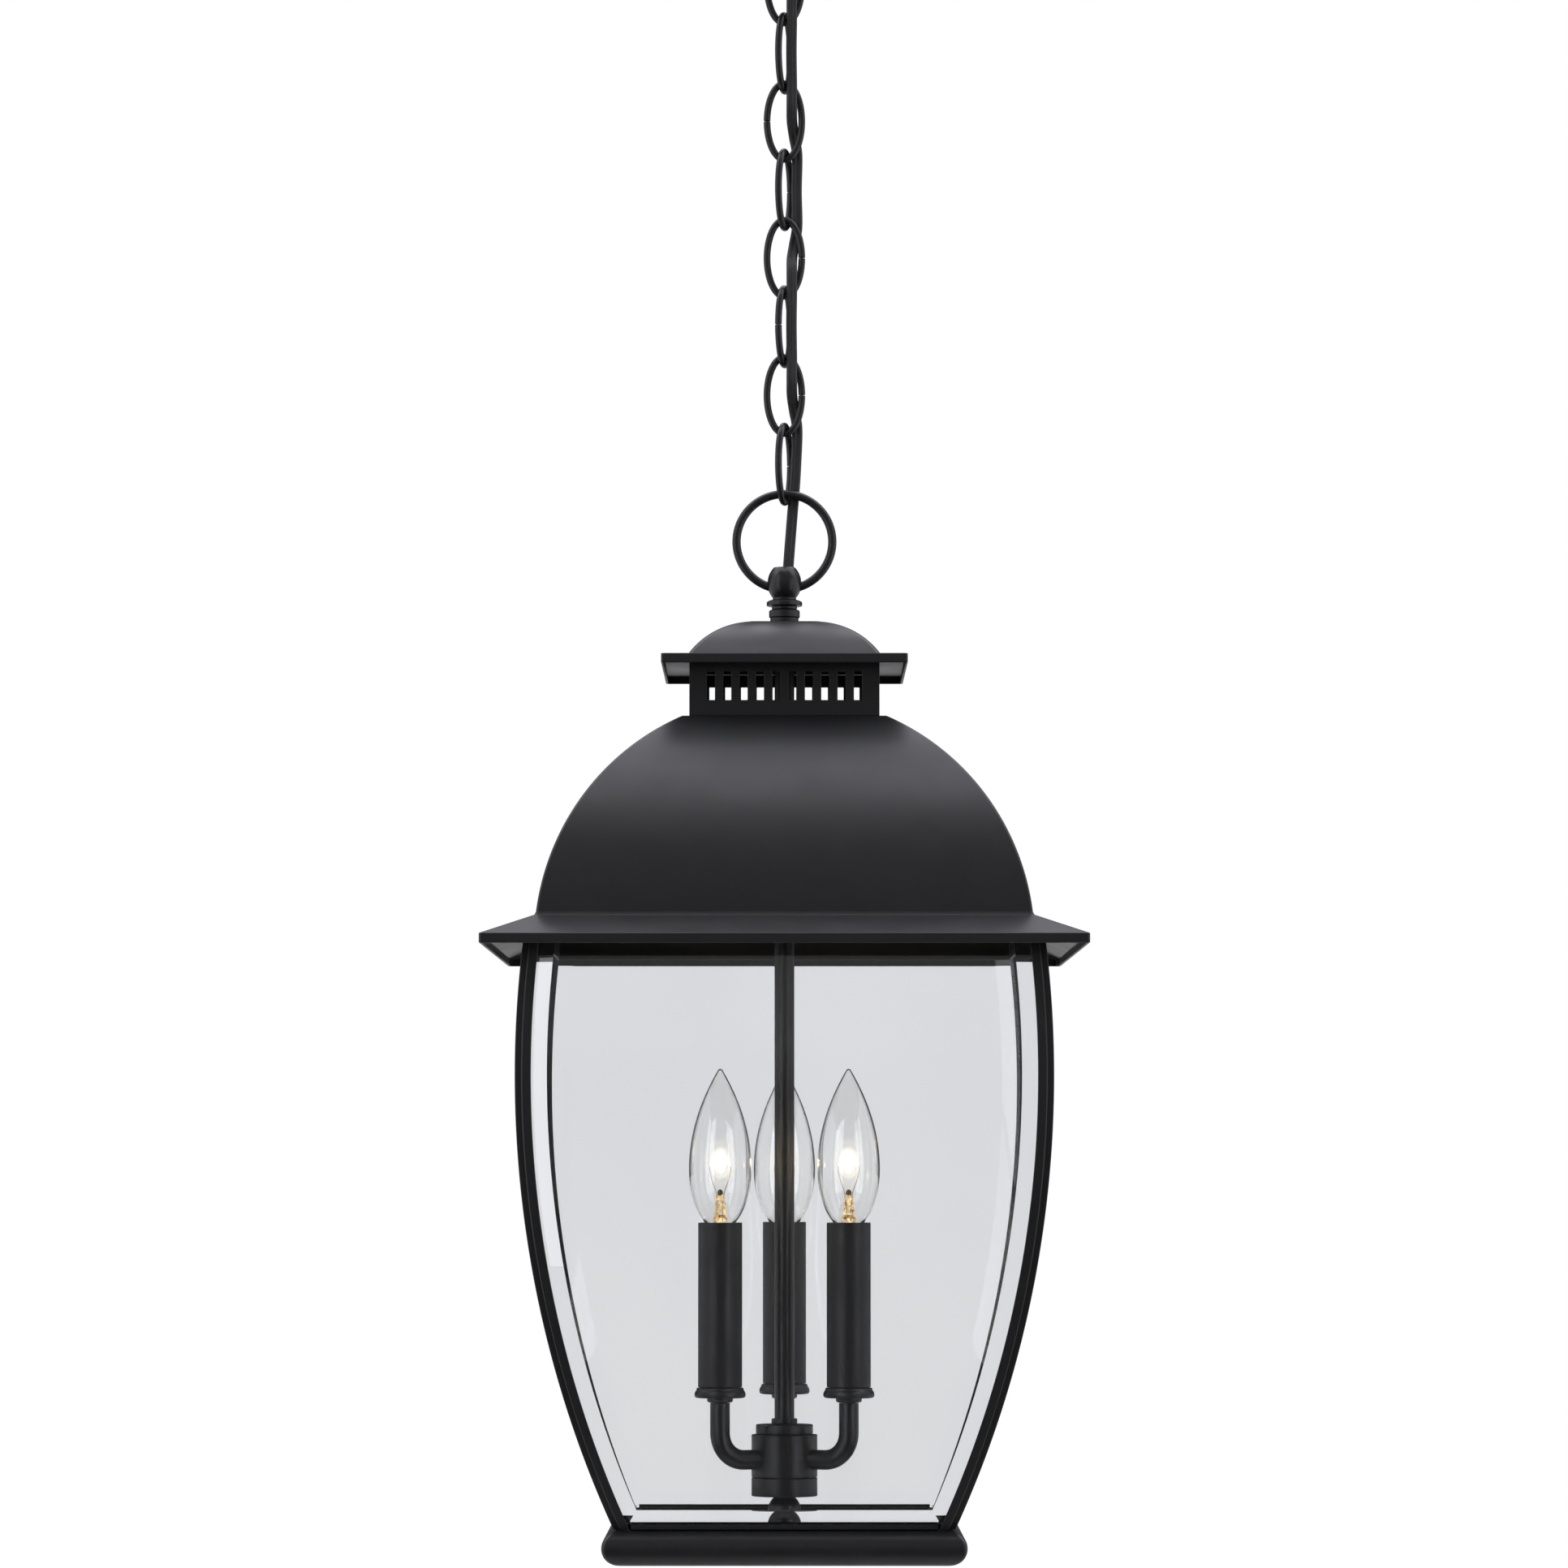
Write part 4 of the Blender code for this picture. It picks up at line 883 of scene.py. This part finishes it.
FLOOR_Z = -2.1
FLOOR_RADIUS = 6.0
FLOOR_COLOUR = (0.45, 0.445, 0.43)
STUDIO = 4.0  # radius of the cards round the lantern
STUDIO_CENTRE = (0.0, 0.0, -0.6)
CARD_ROWS, CARD_COLUMNS = 12, 24

# The world's grey from straight down (0) over the level (0.5) to straight up (1)
WORLD_SHADES = ((0.0, 0.32), (0.43, 0.32), (0.447, 0.385), (0.74, 0.385), (0.84, 0.9), (0.9, 1.0))
WORLD_STRENGTH = 2.6
SKY_FROM, SKY_BLUE = 0.7, 1.08  # above this the grey turns a little blue

FRONT_LEVELS = ((-60, 0.11), (-20, 0.11), (-8, 0.08), (-2, 0.09), (5, 0.27), (66, 0.27))
# The cards: name, turns, heights, levels, distance, and whether sharp; see curved_card()
CARDS = (
    ("front_card", (-65, 65), (-60, 66), FRONT_LEVELS, 1.0, False),
    ("back_card", (122, 238), (-3, 45), ((-3, 0.08), (45, 0.08)), 0.98, False),
    ("left_box", (-57, -37), (-35, 42), ((-35, 1.4), (42, 1.4)), 0.96, False),
    ("right_box", (42, 60), (-35, 22), ((-35, 1.2), (22, 1.2)), 0.96, False),
    ("left_strip", (-58, -22), (-40, 76), ((-40, 2.6), (5, 3.2), (76, 4.4)), 0.94, True),
    ("right_strip", (30, 58), (-40, 76), ((-40, 2.4), (5, 2.9), (76, 4.0)), 0.94, True),
)


def card_look(name, levels, sharp):
    """Light that only shows in reflections, with its levels by elevation; see make_card()."""
    made = emitter(name, (1.0, 1.0, 1.04), 1.0)
    nodes, links = made.node_tree.nodes, made.node_tree.links
    shader = nodes["Principled BSDF"]
    where = nodes.new("ShaderNodeTexCoord")
    split = nodes.new("ShaderNodeSeparateXYZ")
    links.new(where.outputs["Object"], split.inputs["Vector"])
    ramp = nodes.new("ShaderNodeValToRGB")
    stops = [(0.5 + 0.5 * math.sin(math.radians(angle)), (level,) * 3) for angle, level in levels]
    set_ramp(ramp, stops)
    height = nodes.new("ShaderNodeMapRange")
    height.inputs["From Min"].default_value = -STUDIO
    height.inputs["From Max"].default_value = STUDIO
    links.new(split.outputs["Z"], height.inputs["Value"])
    links.new(height.outputs["Result"], ramp.inputs["Fac"])
    links.new(ramp.outputs["Color"], shader.inputs["Emission Strength"])

    path = nodes.new("ShaderNodeLightPath")
    bounced = nodes.new("ShaderNodeMath")
    bounced.operation = "MINIMUM"
    bounced.inputs[1].default_value = 1.0
    links.new(path.outputs["Glossy Depth"], bounced.inputs[0])
    shown = bounced.outputs["Value"]
    if sharp:
        both = nodes.new("ShaderNodeMath")
        both.operation = "MULTIPLY"
        links.new(shown, both.inputs[0])
        links.new(path.outputs["Is Singular Ray"], both.inputs[1])
        shown = both.outputs["Value"]
    clear = nodes.new("ShaderNodeBsdfTransparent")
    mix = nodes.new("ShaderNodeMixShader")
    links.new(shown, mix.inputs["Fac"])
    links.new(clear.outputs["BSDF"], mix.inputs[1])
    links.new(shader.outputs["BSDF"], mix.inputs[2])
    links.new(mix.outputs["Shader"], nodes["Material Output"].inputs["Surface"])
    return made


def make_card(name, points, faces, levels, sharp=False):
    """A sheet of light that only shows in reflections.

    Its levels are (elevation in degrees seen from the lantern, brightness). A sharp one shows in
    glass only.
    """
    mesh = bpy.data.meshes.new(name)
    mesh.from_pydata(points, [], faces)
    mesh.materials.append(card_look(name, levels, sharp))
    card = bpy.data.objects.new(name, mesh)
    bpy.context.scene.collection.objects.link(card)
    card.location = STUDIO_CENTRE
    card.visible_camera = False
    card.visible_shadow = False
    return card


def spread_over(ends, steps):
    """Angles in radians from one end to the other, both given in degrees."""
    start, end = ends
    return [math.radians(start + (end - start) * i / steps) for i in range(steps + 1)]


def grid_faces(rows, columns):
    """The quads of a grid of points with this many steps each way."""
    wide = columns + 1
    starts = [i * wide + k for i in range(rows) for k in range(columns)]
    return [(a, a + 1, a + 1 + wide, a + wide) for a in starts]


def curved_card(name, turns, heights, levels, distance, sharp):
    """Part of a sphere round the lantern; turns count from the front towards +X, in degrees.

    The distance is a share of the studio's radius, so that cards don't lie in one another.
    """
    points = []
    for e in spread_over(heights, CARD_ROWS):
        for c in spread_over(turns, CARD_COLUMNS):
            way = Vector((math.sin(c) * math.cos(e), -math.cos(c) * math.cos(e), math.sin(e)))
            points.append(distance * STUDIO * way)
    return make_card(name, points, grid_faces(CARD_ROWS, CARD_COLUMNS), levels, sharp)


def make_floor_card():
    """A flat card just over the floor in front, which the undersides reflect."""
    drop = FLOOR_Z + 0.02 - STUDIO_CENTRE[2]
    turns = spread_over((-90 - 65, -90 + 65), CARD_COLUMNS)
    points = [(r * math.cos(c), r * math.sin(c), drop) for r in (1.1, STUDIO) for c in turns]
    levels = ((-60, 0.11), (60, 0.11))
    return make_card("floor_card", points, grid_faces(1, CARD_COLUMNS), levels)


def make_floor():
    disc = circle(FLOOR_RADIUS, FLOOR_Z, (0.0, 0.0), 96)
    mesh = bpy.data.meshes.new("floor")
    mesh.from_pydata(disc, [], [tuple(range(len(disc)))])
    mesh.materials.append(material("pale_floor", FLOOR_COLOUR, 0.9))
    floor = bpy.data.objects.new("floor", mesh)
    bpy.context.scene.collection.objects.link(floor)
    return floor


def make_world():
    world = bpy.data.worlds.new("studio")
    bpy.context.scene.world = world
    world.use_nodes = True
    nodes, links = world.node_tree.nodes, world.node_tree.links
    direction = nodes.new("ShaderNodeTexCoord")
    split = nodes.new("ShaderNodeSeparateXYZ")
    level = nodes.new("ShaderNodeMapRange")
    level.inputs["From Min"].default_value = -1.0
    ramp = nodes.new("ShaderNodeValToRGB")
    stops = []
    for position, shade in WORLD_SHADES:
        blue = SKY_BLUE if position > SKY_FROM else 1.0
        stops.append((position, (shade, shade, shade * blue)))
    set_ramp(ramp, stops)
    links.new(direction.outputs["Generated"], split.inputs["Vector"])
    links.new(split.outputs["Z"], level.inputs["Value"])
    links.new(level.outputs["Result"], ramp.inputs["Fac"])
    links.new(ramp.outputs["Color"], nodes["Background"].inputs["Color"])
    nodes["Background"].inputs["Strength"].default_value = WORLD_STRENGTH


def make_studio():
    bpy.context.scene.view_settings.view_transform = "Standard"
    make_world()
    cards = [curved_card(*card) for card in CARDS]
    make_floor_card()
    make_floor()


make_cord()
make_ceiling_fitting()
make_links()
make_ring_and_ball()
make_cap()
make_roof()
make_posts()
make_panes()
make_frames_and_tray()
make_cluster()
make_candles()
make_studio()
